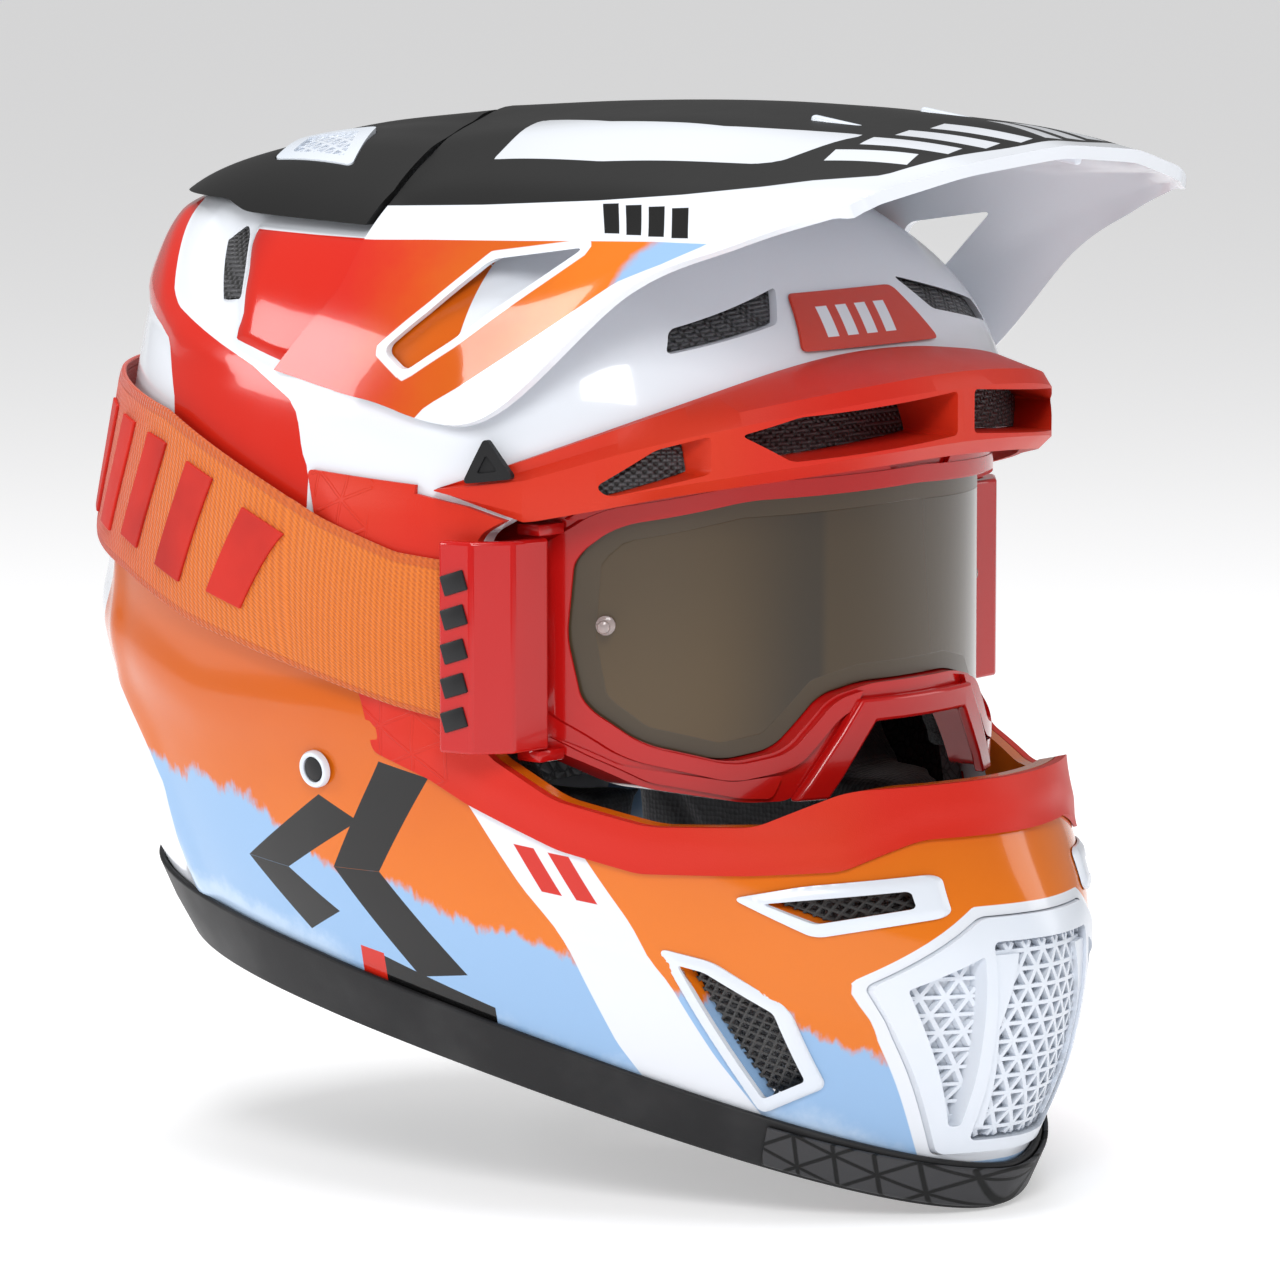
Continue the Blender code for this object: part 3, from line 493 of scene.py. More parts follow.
def rounded_box(size, centre, radius=0.4, segments=2, turn=None):
    """A bevelled box of a size about a centre."""
    bm = bmesh.new()
    bmesh.ops.create_cube(bm, size=1)
    bmesh.ops.scale(bm, verts=bm.verts, vec=size)
    bmesh.ops.bevel(bm, geom=bm.edges[:], offset=radius, segments=segments, profile=0.5,
                    affect="EDGES", material=-1)
    if turn is not None:
        bmesh.ops.transform(bm, matrix=turn, verts=bm.verts)
    bmesh.ops.translate(bm, verts=bm.verts, vec=Vector(centre))
    return bm


def turned(profile, centre, axis, steps=40):
    """A turned piece from (radius, distance along the axis) points."""
    bm = bmesh.new()
    verts = [bm.verts.new((r, 0, d)) for r, d in profile]
    edges = [bm.edges.new(pair) for pair in zip(verts, verts[1:])]
    bmesh.ops.spin(bm, geom=verts + edges, cent=(0, 0, 0), axis=(0, 0, 1), angle=2 * math.pi,
                   steps=steps, use_merge=True, dvec=(0, 0, 0))
    bmesh.ops.remove_doubles(bm, verts=bm.verts, dist=1e-4)
    bmesh.ops.recalc_face_normals(bm, faces=bm.faces)
    place = Matrix.Translation(Vector(centre)) @ Vector(axis).to_track_quat("Z", "Y").to_matrix().to_4x4()
    bmesh.ops.transform(bm, matrix=place, verts=bm.verts)
    return bm


def deliver(bm, name, surface, body, slot, nodes=(), bevel=0.0, sharp=40, segments=2):
    """Makes the object from a bmesh in millimetres, and ties it to the frame."""
    bmesh.ops.transform(bm, matrix=TO_FRAME, verts=bm.verts)
    mesh = bpy.data.meshes.new(name)
    bm.to_mesh(mesh)
    bm.free()
    for material in surface if isinstance(surface, (list, tuple)) else [surface]:
        mesh.materials.append(material)
    made = bpy.data.objects.new(name, mesh)
    bpy.context.scene.collection.objects.link(made)
    mesh.shade_smooth()
    mesh.set_sharp_from_angle(angle=math.radians(sharp))
    if bevel:
        step = made.modifiers.new("edges", "BEVEL")
        step.width = bevel * 0.001
        step.segments = segments
        step.limit_method = "ANGLE"
        step.angle_limit = math.radians(sharp)
        step.use_clamp_overlap = True
        step.harden_normals = False
    if body:
        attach(made, body)
    if nodes:
        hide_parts(*nodes)
    return made


def paint_area(piece, name, outlines, view="side", grow=0.0):
    """Stores how deep each point lies in painted outlines, in millimetres, for the paint to read."""
    mesh = piece.data
    spots = np.zeros(len(mesh.vertices) * 3)
    mesh.vertices.foreach_get("co", spots)
    points = flat(spots.reshape(-1, 3) * 1000 - np.array(SHIFT), view)
    depth = np.max([depth_in(o, points) for o in outlines], axis=0) + grow
    layer = mesh.attributes.new(name, "FLOAT", "POINT")
    layer.data.foreach_set("value", depth.astype(np.float32))


def pair(bm, name, surface, slot, bevel=0.0, **more):
    """Delivers a left-hand piece and its mirror image for the nodes of that name."""
    for side, part in (("right", mirrored(bm)), ("left", bm)):
        deliver(part, f"{name}_{side}_shown", surface, "helmet", slot, [f"{name}_{side}"],
                bevel=bevel, **more)


# ---------------------------------------------------------------------- finishes


class Value:
    """A number that changes over a surface. Arithmetic on it adds Math nodes."""

    def __init__(self, finish, socket):
        self.finish = finish
        self.socket = socket

    def math(self, operation, *others):
        sockets = {i: getattr(v, "socket", v) for i, v in enumerate((self, *others))}
        node = self.finish.node("Math", {"operation": operation}, sockets)
        return Value(self.finish, node.outputs[0])

    def __add__(self, other):
        return self.math("ADD", other)

    def __sub__(self, other):
        return self.math("SUBTRACT", other)

    def __rsub__(self, other):
        return (self * -1) + other

    def __mul__(self, other):
        return self.math("MULTIPLY", other)

    def __truediv__(self, other):
        return self.math("DIVIDE", other)

    __radd__ = __add__
    __rmul__ = __mul__

    def max(self, other):
        return self.math("MAXIMUM", other)

    def sin(self):
        return self.math("SINE")

    def abs(self):
        return self.math("ABSOLUTE")

    def step(self, low, high):
        """0 below low, 1 above high, and smooth between."""
        node = self.finish.node(
            "MapRange", {"interpolation_type": "SMOOTHSTEP"},
            {0: self.socket, 1: low, 2: high, 3: 0.0, 4: 1.0})
        return Value(self.finish, node.outputs[0])


class Finish:
    """A Principled material and the nodes that feed it."""

    def __init__(self, name, colour, roughness, **constants):
        self.material = bpy.data.materials.new(name)
        self.material.use_nodes = True
        self.tree = self.material.node_tree
        self.shader = self.tree.nodes["Principled BSDF"]
        self.set("Base Color", colour)
        self.set("Roughness", roughness)
        for key, value in constants.items():
            self.set(key.replace("_", " ").title().replace("Ior", "IOR"), value)
        self.material.diffuse_color = (*colour, 1) if isinstance(colour, tuple) else (0.5, 0.5, 0.5, 1)
        self.places = {}

    def node(self, kind, settings=None, sockets=None):
        """Adds a node, gives it its settings, then sets or links its sockets."""
        made = self.tree.nodes.new("ShaderNode" + kind)
        for key, value in (settings or {}).items():
            setattr(made, key, value)
        for key, value in (sockets or {}).items():
            self.feed(made.inputs[key], value)
        return made

    def feed(self, socket, value):
        value = getattr(value, "socket", value)
        if isinstance(value, bpy.types.NodeSocket):
            self.tree.links.new(value, socket)
        elif isinstance(value, (tuple, list)) and len(value) == 3 and socket.type == "RGBA":
            socket.default_value = (*value, 1)
        else:
            socket.default_value = value

    def set(self, name, value):
        self.feed(self.shader.inputs[name], value)

    def place(self, stretch=(1, 1, 1)):
        """Object coordinates from the middle of the head, in metres, stretched per axis."""
        if stretch not in self.places:
            where = self.node("TexCoord").outputs["Object"]
            move = {1: tuple(-s * 0.001 * k for s, k in zip(SHIFT, stretch)), 3: stretch}
            node = self.node("Mapping", {"vector_type": "POINT"}, {0: where, **move})
            self.places[stretch] = node.outputs[0]
        return self.places[stretch]

    def axis(self, name):
        """X, Y or Z from the middle of the head, in millimetres."""
        node = self.node("SeparateXYZ", None, {0: self.place()})
        return Value(self, node.outputs[name]) * 1000

    def depth(self, name):
        """The depth in a painted area, in millimetres."""
        node = self.node("Attribute", {"attribute_name": name})
        return Value(self, node.outputs["Fac"])

    def area(self, name, soft=0.12, wobble=0.0):
        """1 inside a painted area and 0 outside it."""
        return (self.depth(name) + wobble).step(-soft, soft)

    def marks(self, shapes, view="side", soft=0.1):
        """1 inside convex shapes seen from the side, the front or above, and 0 outside them."""
        first, second = (self.axis(a) for a in {"side": "YZ", "front": "XZ", "top": "XY"}[view])
        if view == "top":
            first = first.abs()
        found = None
        for shape in shapes:
            corners = [Vector(p) for p in shape]
            area = sum(a.cross(b) for a, b in zip(corners, corners[1:] + corners[:1]))
            depth = None
            for a, b in zip(corners, corners[1:] + corners[:1]):
                out = Vector((b.y - a.y, a.x - b.x)).normalized() * (1 if area > 0 else -1)
                edge = first * -out.x + (second * -out.y + out.dot(a))
                depth = edge if depth is None else depth.math("MINIMUM", edge)
            found = depth if found is None else found.max(depth)
        return found.step(-soft, soft)

    def noise(self, scale, detail=3.0, rough=0.5, stretch=(1, 1, 1)):
        node = self.node("TexNoise", None, {
            "Vector": self.place(stretch), "Scale": scale, "Detail": detail, "Roughness": rough})
        return Value(self, node.outputs["Fac"])

    def cells(self, scale, feature="F1", stretch=(1, 1, 1), randomness=1.0):
        node = self.node("TexVoronoi", {"feature": feature}, {
            "Vector": self.place(stretch), "Scale": scale, "Randomness": randomness})
        return Value(self, node.outputs["Distance"])

    def mix(self, share, low, high):
        """A colour that goes from low to high with a share from 0 to 1."""
        node = self.node("Mix", {"data_type": "RGBA"}, {0: share, 6: low, 7: high})
        return node.outputs[2]

    def bump(self, height, distance, strength=1.0):
        """Relief of a height from 0 to 1, in metres at 1."""
        node = self.node("Bump", None, {"Strength": strength, "Distance": distance, "Height": height})
        self.set("Normal", node.outputs[0])


def colours():
    return bpy.context.scene.helmet_colours


def sizes():
    return bpy.context.scene.helmet_sizes


def made_once(build):
    """Keeps the material that a function makes, so each is made once."""
    kept = {}

    def again():
        if "it" not in kept:
            kept["it"] = build()
        return kept["it"]

    return again


def grain(finish, scale=2600, depth=0.00004, blotch=0.03):
    """Fine moulded grain, and the slight blotches it leaves in gloss."""
    finish.bump(finish.noise(scale, 2.0), depth, 0.5)
    return finish.noise(45, 3.0) * blotch


@made_once
def shell_paint():
    c = colours()
    f = Finish("shell_paint", tuple(c.white), 0.16, coat_weight=0.35, coat_roughness=0.03)
    f.set("Specular IOR Level", 0.25)
    white = tuple(c.white)
    cloud = f.noise(34, 5.0, 0.62)
    streak = f.noise(300, 3.0, 0.6, stretch=(1, 1, 0.16))
    shade = f.noise(9, 2.0)
    red = f.mix((shade - 0.5) * 0.5, tuple(c.red), tuple(c.deep_red))
    seam_red = f.mix(f.axis("Y").step(46, 26), tuple(c.deep_red), red)
    orange = f.mix((f.axis("Z") + cloud * 20).step(-75, 20), tuple(c.orange), tuple(c.deep_orange))
    colour = f.mix(f.area("seam_panel"), white, seam_red)
    colour = f.mix(f.area("rear_panel"), colour, red)
    colour = f.mix(f.area("window_back"), colour, tuple(c.deep_orange))
    torn = (cloud - 0.5) * 16 + (streak - 0.5) * 9 + (f.noise(11, 2.0) - 0.5) * 14
    sky = f.mix((f.depth("torn") - 26 + (cloud - 0.5) * 30).step(0, 9), tuple(c.blue), tuple(c.pale_blue))
    lower = f.mix((f.depth("torn") + torn).step(-1.2, 2.4), orange, sky)
    colour = f.mix(f.area("lower_band"), colour, lower)
    colour = f.mix(f.area("stripe"), colour, white)
    colour = f.mix(f.marks([*CHEVRONS, TAG]), colour, tuple(c.black))
    colour = f.mix(f.marks([TAG_SQUARE, *STRIPE_MARKS]), colour, tuple(c.red))
    colour = f.mix(f.area("mouth_rim"), colour, white)
    fleck = f.noise(5200, 1.0).step(0.70, 0.82) * 0.05
    f.set("Base Color", f.mix(fleck, colour, white))
    f.set("Roughness", f.noise(70, 3.0) * 0.10 + 0.10)
    f.bump(f.noise(420, 2.0), 0.00003, 0.35)
    return f.material


@made_once
def visor_paint():
    c = colours()
    f = Finish("visor_paint", tuple(c.white), 0.2, coat_roughness=0.03)
    cloud = f.noise(40, 4.0, 0.6)
    along = f.axis("Y") + (cloud - 0.5) * 34
    band = f.mix(along.step(-2, -62), tuple(c.red), tuple(c.deep_orange))
    band = f.mix(along.step(-60, -100), band, tuple(c.orange))
    front = (f.depth("visor_front") + (cloud - 0.5) * 16).step(-1.5, 2.5)
    band = f.mix(front, band, tuple(c.blue))
    outer = f.area("outer_side", 0.5)
    colour = f.mix(f.area("visor_band") * outer, tuple(c.white), band)
    rim = f.depth("window").step(-2.6, -2.2)
    colour = f.mix(rim, colour, tuple(c.white))
    clear = (1 - f.area("deck_inlay")) * (1 - f.marks(DECK_MARKS, "top"))
    deck = f.area("deck") * outer * clear
    colour = f.mix(deck, colour, tuple(c.black))
    colour = f.mix(f.marks(BAND_MARKS) * outer, colour, tuple(c.black))
    f.set("Base Color", colour)
    f.set("Roughness", deck * 0.36 + f.noise(70, 3.0) * 0.08 + 0.14)
    f.set("Coat Weight", (1 - deck) * 0.5)
    f.set("Specular IOR Level", 0.3)
    f.bump(f.noise(1800, 2.0) * deck + f.noise(400, 2.0) * 0.4, 0.00004, 0.4)
    return f.material


@made_once
def matte_black():
    f = Finish("matte_black_paint", tuple(colours().black), 0.5)
    f.set("Specular IOR Level", 0.28)
    f.set("Roughness", grain(f, 2200) + 0.47)
    return f.material


@made_once
def soft_red():
    c = colours()
    f = Finish("soft_touch_red", tuple(c.red), 0.45)
    f.set("Specular IOR Level", 0.25)
    lift = f.noise(14, 2.0)
    f.set("Base Color", f.mix(lift.step(0.35, 0.75), tuple(c.red), tuple(c.warm_red)))
    f.set("Roughness", f.noise(60, 3.0) * 0.16 + 0.34)
    height = f.noise(2600, 2.0) * 0.3
    f.bump(height + triangles(f) * f.area("embossed", 0.4), 0.0003, 0.6)
    return f.material


def triangles(f, pitch=11.0, lines=0.07):
    """Raised lines in three directions that cross as triangles, seen from the side."""
    y, z = f.axis("Y"), f.axis("Z")
    height = None
    for turn in (0, 60, 120):
        a = math.radians(turn + 8)
        wave = (y * (math.cos(a) / pitch) + z * (math.sin(a) / pitch)) * math.pi
        line = 1 - wave.sin().abs().step(lines, lines * 2.4)
        height = line if height is None else height.max(line)
    return height


@made_once
def gloss_red():
    c = colours()
    f = Finish("gloss_red", tuple(c.goggle_red), 0.14, coat_weight=0.3, coat_roughness=0.04)
    f.set("Specular IOR Level", 0.3)
    f.set("Base Color", f.mix(f.noise(20, 2.0) * 0.4, tuple(c.goggle_red), tuple(c.deep_red)))
    f.set("Roughness", f.noise(80, 3.0) * 0.12 + 0.10)
    f.bump(f.noise(700, 2.0), 0.00002, 0.4)
    return f.material


@made_once
def white_plastic():
    c = colours()
    f = Finish("white_plastic", tuple(c.white), 0.24)
    f.set("Base Color", f.mix(f.noise(30, 2.0) * 0.25, tuple(c.white), tuple(c.pale_blue)))
    f.set("Roughness", grain(f, 1800, 0.00003) + 0.24)
    return f.material


@made_once
def black_rubber():
    f = Finish("black_rubber", (0.014, 0.014, 0.015), 0.6)
    f.set("Specular IOR Level", 0.25)
    f.set("Base Color", f.mix(f.noise(40, 3.0).step(0.4, 0.9), (0.012, 0.012, 0.013), (0.03, 0.03, 0.031)))
    f.set("Roughness", grain(f, 1500, 0.00008, 0.2) + 0.40)
    return f.material


@made_once
def grey_rubber():
    f = Finish("grey_rubber", (0.03, 0.03, 0.032), 0.62)
    f.set("Specular IOR Level", 0.25)
    lines = triangles(f, 9.0, 0.10)
    f.set("Base Color", f.mix(lines, (0.045, 0.045, 0.048), (0.006, 0.006, 0.006)))
    f.set("Roughness", f.noise(300, 3.0) * 0.2 + 0.5)
    f.bump(f.noise(1700, 2.0) * 0.15 - lines, 0.0004, 0.8)
    return f.material


def weave(f, pitch, first="Y", second="Z"):
    """Height of a plain weave with threads along two axes."""
    a = (f.axis(first) * (math.pi / pitch)).sin()
    b = (f.axis(second) * (math.pi / pitch)).sin()
    return a * b


@made_once
def woven_mesh():
    f = Finish("woven_mesh", (0.02, 0.02, 0.022), 0.35)
    threads = weave(f, 1.15).max(weave(f, 1.15, "X", "Z"))
    f.set("Base Color", f.mix(threads.step(-0.1, 0.5), (0.004, 0.004, 0.004), (0.055, 0.055, 0.06)))
    f.set("Roughness", threads.step(0, 1) * -0.2 + 0.5)
    f.bump(threads, 0.0004, 0.9)
    return f.material


@made_once
def wire_mesh():
    """Diamond mesh that is open between its wires."""
    f = Finish("wire_mesh", (0.02, 0.02, 0.02), 0.35)
    y, z = f.axis("Y"), f.axis("Z")
    one = (y * 1.0 + z * 0.55).math("MULTIPLY", math.pi / 2.7).sin().abs()
    two = (y * 0.5 - z * 1.0).math("MULTIPLY", math.pi / 2.7).sin().abs()
    wires = (1 - one.step(0.28, 0.40)).max(1 - two.step(0.28, 0.40))
    f.set("Alpha", wires)
    f.set("Base Color", f.mix(f.noise(900, 2.0), (0.015, 0.015, 0.015), (0.05, 0.05, 0.05)))
    return f.material


@made_once
def lens_tint():
    c = colours()
    f = Finish("bronze_lens", tuple(c.lens), 0.12, coat_weight=0.35, coat_roughness=0.02, metallic=0.0)
    f.set("Specular IOR Level", 0.3)
    # Painted reflection: shade marks a darker vertical band across the lens, filled with the lens shade
    # colour. The next mix also makes the lens darker towards the top.
    across = f.axis("X") + f.noise(4, 2.0) * 8
    shade = across.step(-62, -30) * (1 - across.step(-30, -26) * 0.55)
    tint = f.mix(shade, tuple(c.lens), tuple(c.lens_dark))
    tint = f.mix((f.axis("Z") + 20).step(0, 70) * 0.5, tint, tuple(c.lens_dark))
    edge = f.depth("lens_edge").step(5.2, 5.6)
    colour = f.mix(edge, (0.060, 0.042, 0.022), tint)
    f.set("Base Color", colour)
    f.set("Roughness", (1 - edge) * 0.2 + f.noise(50, 2.0) * 0.06 + 0.13)
    f.bump(edge, 0.0001, 0.6)
    return f.material


@made_once
def clear_plastic():
    f = Finish("clear_plastic", (0.72, 0.62, 0.60), 0.12, transmission_weight=0.6, ior=1.46)
    f.set("Roughness", f.noise(400, 2.0) * 0.1 + 0.06)
    f.bump(f.noise(900, 2.0), 0.00004, 0.4)
    return f.material


@made_once
def elastic():
    """Woven elastic: ribs along the strap with a fine twill over them."""
    c = colours()
    f = Finish("woven_elastic", tuple(c.orange), 0.75, sheen_weight=0.25, sheen_roughness=0.4)
    run, rise = f.depth("run"), f.depth("rise")
    ribs = (run * (math.pi / 0.85)).sin()
    twill = ((rise * 1.0 + run * 0.7) * (math.pi / 0.62)).sin()
    threads = ribs * 0.5 + twill * 0.5
    back = (run * 1.0 + f.noise(20, 2.0) * 40).step(90, 215)
    back = 1 - back
    dyed = f.mix(back, tuple(c.orange), tuple(c.red))
    edge = (rise - 24).abs().step(21.2, 21.8)
    dyed = f.mix(edge * 0.35, dyed, tuple(c.deep_red))
    f.set("Base Color", f.mix(threads.step(-1, 0.8), f.mix(0.5, dyed, (0.30, 0.04, 0.004)), dyed))
    f.set("Roughness", f.noise(200, 2.0) * 0.2 + 0.62)
    f.bump(threads + edge * 1.5, 0.00022, 0.8)
    return f.material


@made_once
def silicone():
    c = colours()
    f = Finish("silicone_red", tuple(c.red), 0.5)
    f.set("Specular IOR Level", 0.25)
    f.set("Base Color", f.mix(f.noise(25, 3.0).step(0.3, 0.8), tuple(c.red), tuple(c.deep_red)))
    f.set("Roughness", f.noise(150, 3.0) * 0.2 + 0.38)
    f.bump(f.noise(1500, 2.0), 0.00006, 0.5)
    return f.material


@made_once
def liner_cloth():
    f = Finish("liner_cloth", (0.02, 0.02, 0.022), 0.9, sheen_weight=0.35, sheen_roughness=0.5)
    knit = f.cells(620, "F1", (1, 1, 1), 0.35)
    f.set("Base Color", f.mix(f.noise(120, 4.0), (0.012, 0.012, 0.014), (0.05, 0.05, 0.055)))
    f.set("Roughness", f.noise(60, 2.0) * 0.1 + 0.85)
    f.bump(knit + f.noise(500, 3.0) * 0.6, 0.0005, 0.7)
    return f.material


@made_once
def bead_foam():
    f = Finish("bead_foam", (0.05, 0.05, 0.055), 0.8)
    beads = f.cells(330, "DISTANCE_TO_EDGE")
    f.set("Base Color", f.mix(beads.step(0, 0.12), (0.02, 0.02, 0.022), (0.07, 0.07, 0.075)))
    f.set("Roughness", beads * -0.4 + 0.85)
    f.bump(beads.step(0, 0.3), 0.0004, 0.8)
    return f.material


@made_once
def open_foam():
    f = Finish("open_foam", (0.02, 0.02, 0.02), 0.95)
    cells = f.cells(1300)
    f.set("Base Color", f.mix(cells.step(0.1, 0.7), (0.006, 0.006, 0.006), (0.04, 0.04, 0.042)))
    f.set("Roughness", f.noise(80, 2.0) * 0.1 + 0.88)
    f.bump(cells, 0.0006, 0.9)
    return f.material


def webbing(name, colour):
    f = Finish(name, colour, 0.7, sheen_weight=0.2)
    threads = weave(f, 1.3).max(weave(f, 1.3, "X", "Y") * 0.8)
    f.set("Base Color", f.mix(threads.step(-0.6, 0.6), tuple(k * 0.4 for k in colour), colour))
    f.set("Roughness", f.noise(90, 2.0) * 0.15 + 0.62)
    f.bump(threads, 0.0003, 0.9)
    return f.material


@made_once
def black_webbing():
    return webbing("black_webbing", (0.028, 0.028, 0.03))


@made_once
def red_webbing():
    return webbing("red_webbing", tuple(colours().red))


@made_once
def buckle_plastic():
    f = Finish("buckle_plastic", (0.012, 0.012, 0.013), 0.4)
    f.set("Specular IOR Level", 0.3)
    f.set("Roughness", grain(f, 1900, 0.00005, 0.2) + 0.32)
    return f.material


@made_once
def dark_steel():
    f = Finish("dark_steel", (0.08, 0.08, 0.085), 0.35, metallic=1.0)
    f.set("Roughness", f.noise(500, 3.0, 0.6, (1, 4, 1)) * 0.25 + 0.22)
    f.bump(f.noise(900, 2.0), 0.00003, 0.4)
    return f.material


# --------------------------------------------------------------------- soft goods


def puffed(piece, voxel, pressure, cap, frames=20):
    """Turns a piece into a pad: its skin is remeshed, and blown up as cloth within a cap."""
    scene = bpy.context.scene
    step = piece.modifiers.new("skin", "REMESH")
    step.mode = "VOXEL"
    step.voxel_size = voxel
    bpy.context.view_layer.update()
    dense = bpy.data.meshes.new_from_object(piece.evaluated_get(bpy.context.evaluated_depsgraph_get()))
    piece.modifiers.remove(step)
    old = piece.data
    dense.name = old.name + "_skin"
    piece.data = dense
    count = len(dense.vertices)
    start = np.zeros(count * 3)
    dense.vertices.foreach_get("co", start)
    start = start.reshape(-1, 3)
    cloth = piece.modifiers.new("cloth", "CLOTH")
    cloth.settings.quality = 4
    cloth.settings.use_pressure = True
    cloth.settings.uniform_pressure_force = pressure
    cloth.settings.effector_weights.gravity = 0
    cloth.settings.bending_stiffness = 0.3
    cloth.collision_settings.use_collision = False
    cloth.point_cache.frame_end = frames
    for number in range(1, frames + 1):
        scene.frame_set(number)
    seen = piece.evaluated_get(bpy.context.evaluated_depsgraph_get())
    moved = np.zeros(count * 3)
    seen.data.vertices.foreach_get("co", moved)
    piece.modifiers.remove(cloth)
    scene.frame_set(1)
    push = moved.reshape(-1, 3) - start
    length = np.linalg.norm(push, axis=1, keepdims=True)
    push *= np.minimum(1, cap / np.maximum(length, 1e-9))
    dense.vertices.foreach_set("co", (start + push).ravel())
    bm = bmesh.new()
    bm.from_mesh(dense)
    for _ in range(2):
        bmesh.ops.smooth_vert(bm, verts=bm.verts, factor=0.5, use_axis_x=True, use_axis_y=True,
                              use_axis_z=True)
    bm.to_mesh(dense)
    bm.free()
    for face in dense.polygons:
        face.use_smooth = True
    return piece


def shrunk(bm, distance):
    """The shape drawn in along its normals."""
    bmesh.ops.recalc_face_normals(bm, faces=bm.faces)
    bm.normal_update()
    normals = {v: v.normal.copy() for v in bm.verts}
    for v, n in normals.items():
        v.co -= n * distance
    return bm


def sewn(piece, depth, channels):
    """Presses sewn channels into a pad. channels(points) gives each point's distance to a seam in mm."""
    mesh = piece.data
    spots = np.zeros(len(mesh.vertices) * 3)
    mesh.vertices.foreach_get("co", spots)
    spots = spots.reshape(-1, 3)
    normals = np.array([v.normal for v in mesh.vertices])
    press = depth * np.exp(-(channels(spots * 1000 - np.array(SHIFT)) / 2.6) ** 2)
    mesh.vertices.foreach_set("co", (spots - normals * press[:, None] * 0.001).ravel())


def pad(node, body, surface, slot, inset, voxel, cap, channels=None, depth=1.6):
    """A sewn pad in the place of a CAD solid."""
    piece = deliver(shrunk(of_node(node), inset), node + "_shown", surface, body, slot, [node])
    puffed(piece, voxel, sizes().pad_pressure, cap)
    smooth_step = piece.modifiers.new("smooth", "SUBSURF")
    smooth_step.levels = smooth_step.render_levels = 1
    if channels:
        bpy.context.view_layer.update()
        dense = bpy.data.meshes.new_from_object(piece.evaluated_get(bpy.context.evaluated_depsgraph_get()))
        piece.modifiers.remove(smooth_step)
        dense.name = node + "_sewn"
        piece.data = dense
        sewn(piece, depth, channels)
    return piece


# ------------------------------------------------------------------------- pieces


def shell_relief(points):
    """How far the shell's outer face stands out from its plain form."""
    side = flat(points, "side")
    lift = 2.2 * smooth((depth_in(SEAM_PANEL, side) + 2) / 4)
    rear = 1.6 * smooth((depth_in(REAR_PANEL, side) + 1.5) / 7)
    lift = np.maximum(lift, rear * smooth((side[:, 1] - 88) / 12))
    hollow = smooth((depth_in(VENT_HOLLOW, side) + 3) / 9)
    lift = lift * (1 - hollow) - 2.4 * hollow
    rib = distance_to_line(((118, 12), (100.8, 7.3), (44.1, -10.4), (-11.6, -10.8), (-40, -14)), side)
    lift += 1.7 * np.exp(-(rib / 9) ** 2)
    flank = distance_to_line(((93, 26.8), (90.6, -12.2), (75.9, -26.3), (62.8, -59.6), (60, -80)), side)
    lift += 1.3 * np.exp(-(flank / 5) ** 2)
    chin = distance_to_line(((-84, -70), (-103, -75), (-136, -88), (-157, -95)), side)
    lift += 1.2 * np.exp(-(chin / 4) ** 2)
    return lift


class HELMET_OT_shell(bpy.types.Operator):
    """Builds the painted shell, with its openings and its relief"""

    bl_idname = "helmet.shell"
    bl_label = "Shell"

    def execute(self, context):
        gap = sizes().gap
        made = skin_wall(-sizes().shell_wall, 0, cell=sizes().shell_cell, relief=shell_relief)
        tools = [prism(EYEPORT, "side", *ACROSS, 3), prism(SLOT_VENT, "side", *ACROSS, 1.2),
                 prism(CHIN_VENT, "side", *ACROSS, 1.5),
                 prism(REAR_VENT, "side", 60, 160, 2), prism(REAR_VENT, "side", -160, -60, 2)]
        for outline in (FOREHEAD_VENT, mirror_outline(FOREHEAD_VENT)):
            tools.append(prism(outline, "front", *AHEAD, 2))
        made = cut(made, *tools)
        made = cut(made, prism(grown(MOUTH_VENT, gap), "front", *AHEAD, 2))
        piece = deliver(made, "shell", shell_paint(), "helmet", "shell_paint", ["outer_shell"],
                        bevel=sizes().edge_round, sharp=45)
        for name, outlines in (
            ("seam_panel", [SEAM_PANEL]), ("rear_panel", [REAR_PANEL]), ("window_back", [WINDOW_BACK]),
            ("lower_band", [LOWER_BAND]), ("stripe", [STRIPE]),
            ("torn", [TORN_LINE + ((-230, -130), (-230, -220), (100, -220))]),
        ):
            paint_area(piece, name, outlines)
        paint_area(piece, "mouth_rim", [MOUTH_VENT], "front", 3.2)
        return {"FINISHED"}


def visor_rows():
    """Points of the visor's outer face, from the seam forward and from right to left."""
    seam = VISOR_STATIONS[0][:3] + tuple(
        (skin_width(y, z, 3.2), y, z) for y, z in ((-6, 115), (12, 91)))
    stations = np.array([seam, *VISOR_STATIONS[1:]], float)
    places = np.linspace(0, len(stations) - 1, 91)
    rows = smooth_rows(stations, places)
    fine = []
    for a, b in zip(range(4), range(1, 5)):
        steps = np.linspace(0, 1, 12, endpoint=False)
        fine.append(rows[:, None, a] * (1 - steps)[None, :, None] + rows[:, None, b] * steps[None, :, None])
    half = np.concatenate([*fine, rows[:, None, 4]], axis=1)
    full = np.concatenate([half[:, :0:-1] * (-1, 1, 1), half], axis=1)
    for _ in range(4):
        full[:, 1:-1] = (full[:, :-2] + 2 * full[:, 1:-1] + full[:, 2:]) / 4
    near = BVHTree.FromBMesh(skin_solid(0.0))
    clear = sizes().visor_wall + 0.9
    for row in full:
        for k, here in enumerate(row):
            foot, normal, _, _ = near.find_nearest(Vector(here))
            if (Vector(here) - foot).dot(normal) < clear:
                row[k] = foot + normal * clear
    return full


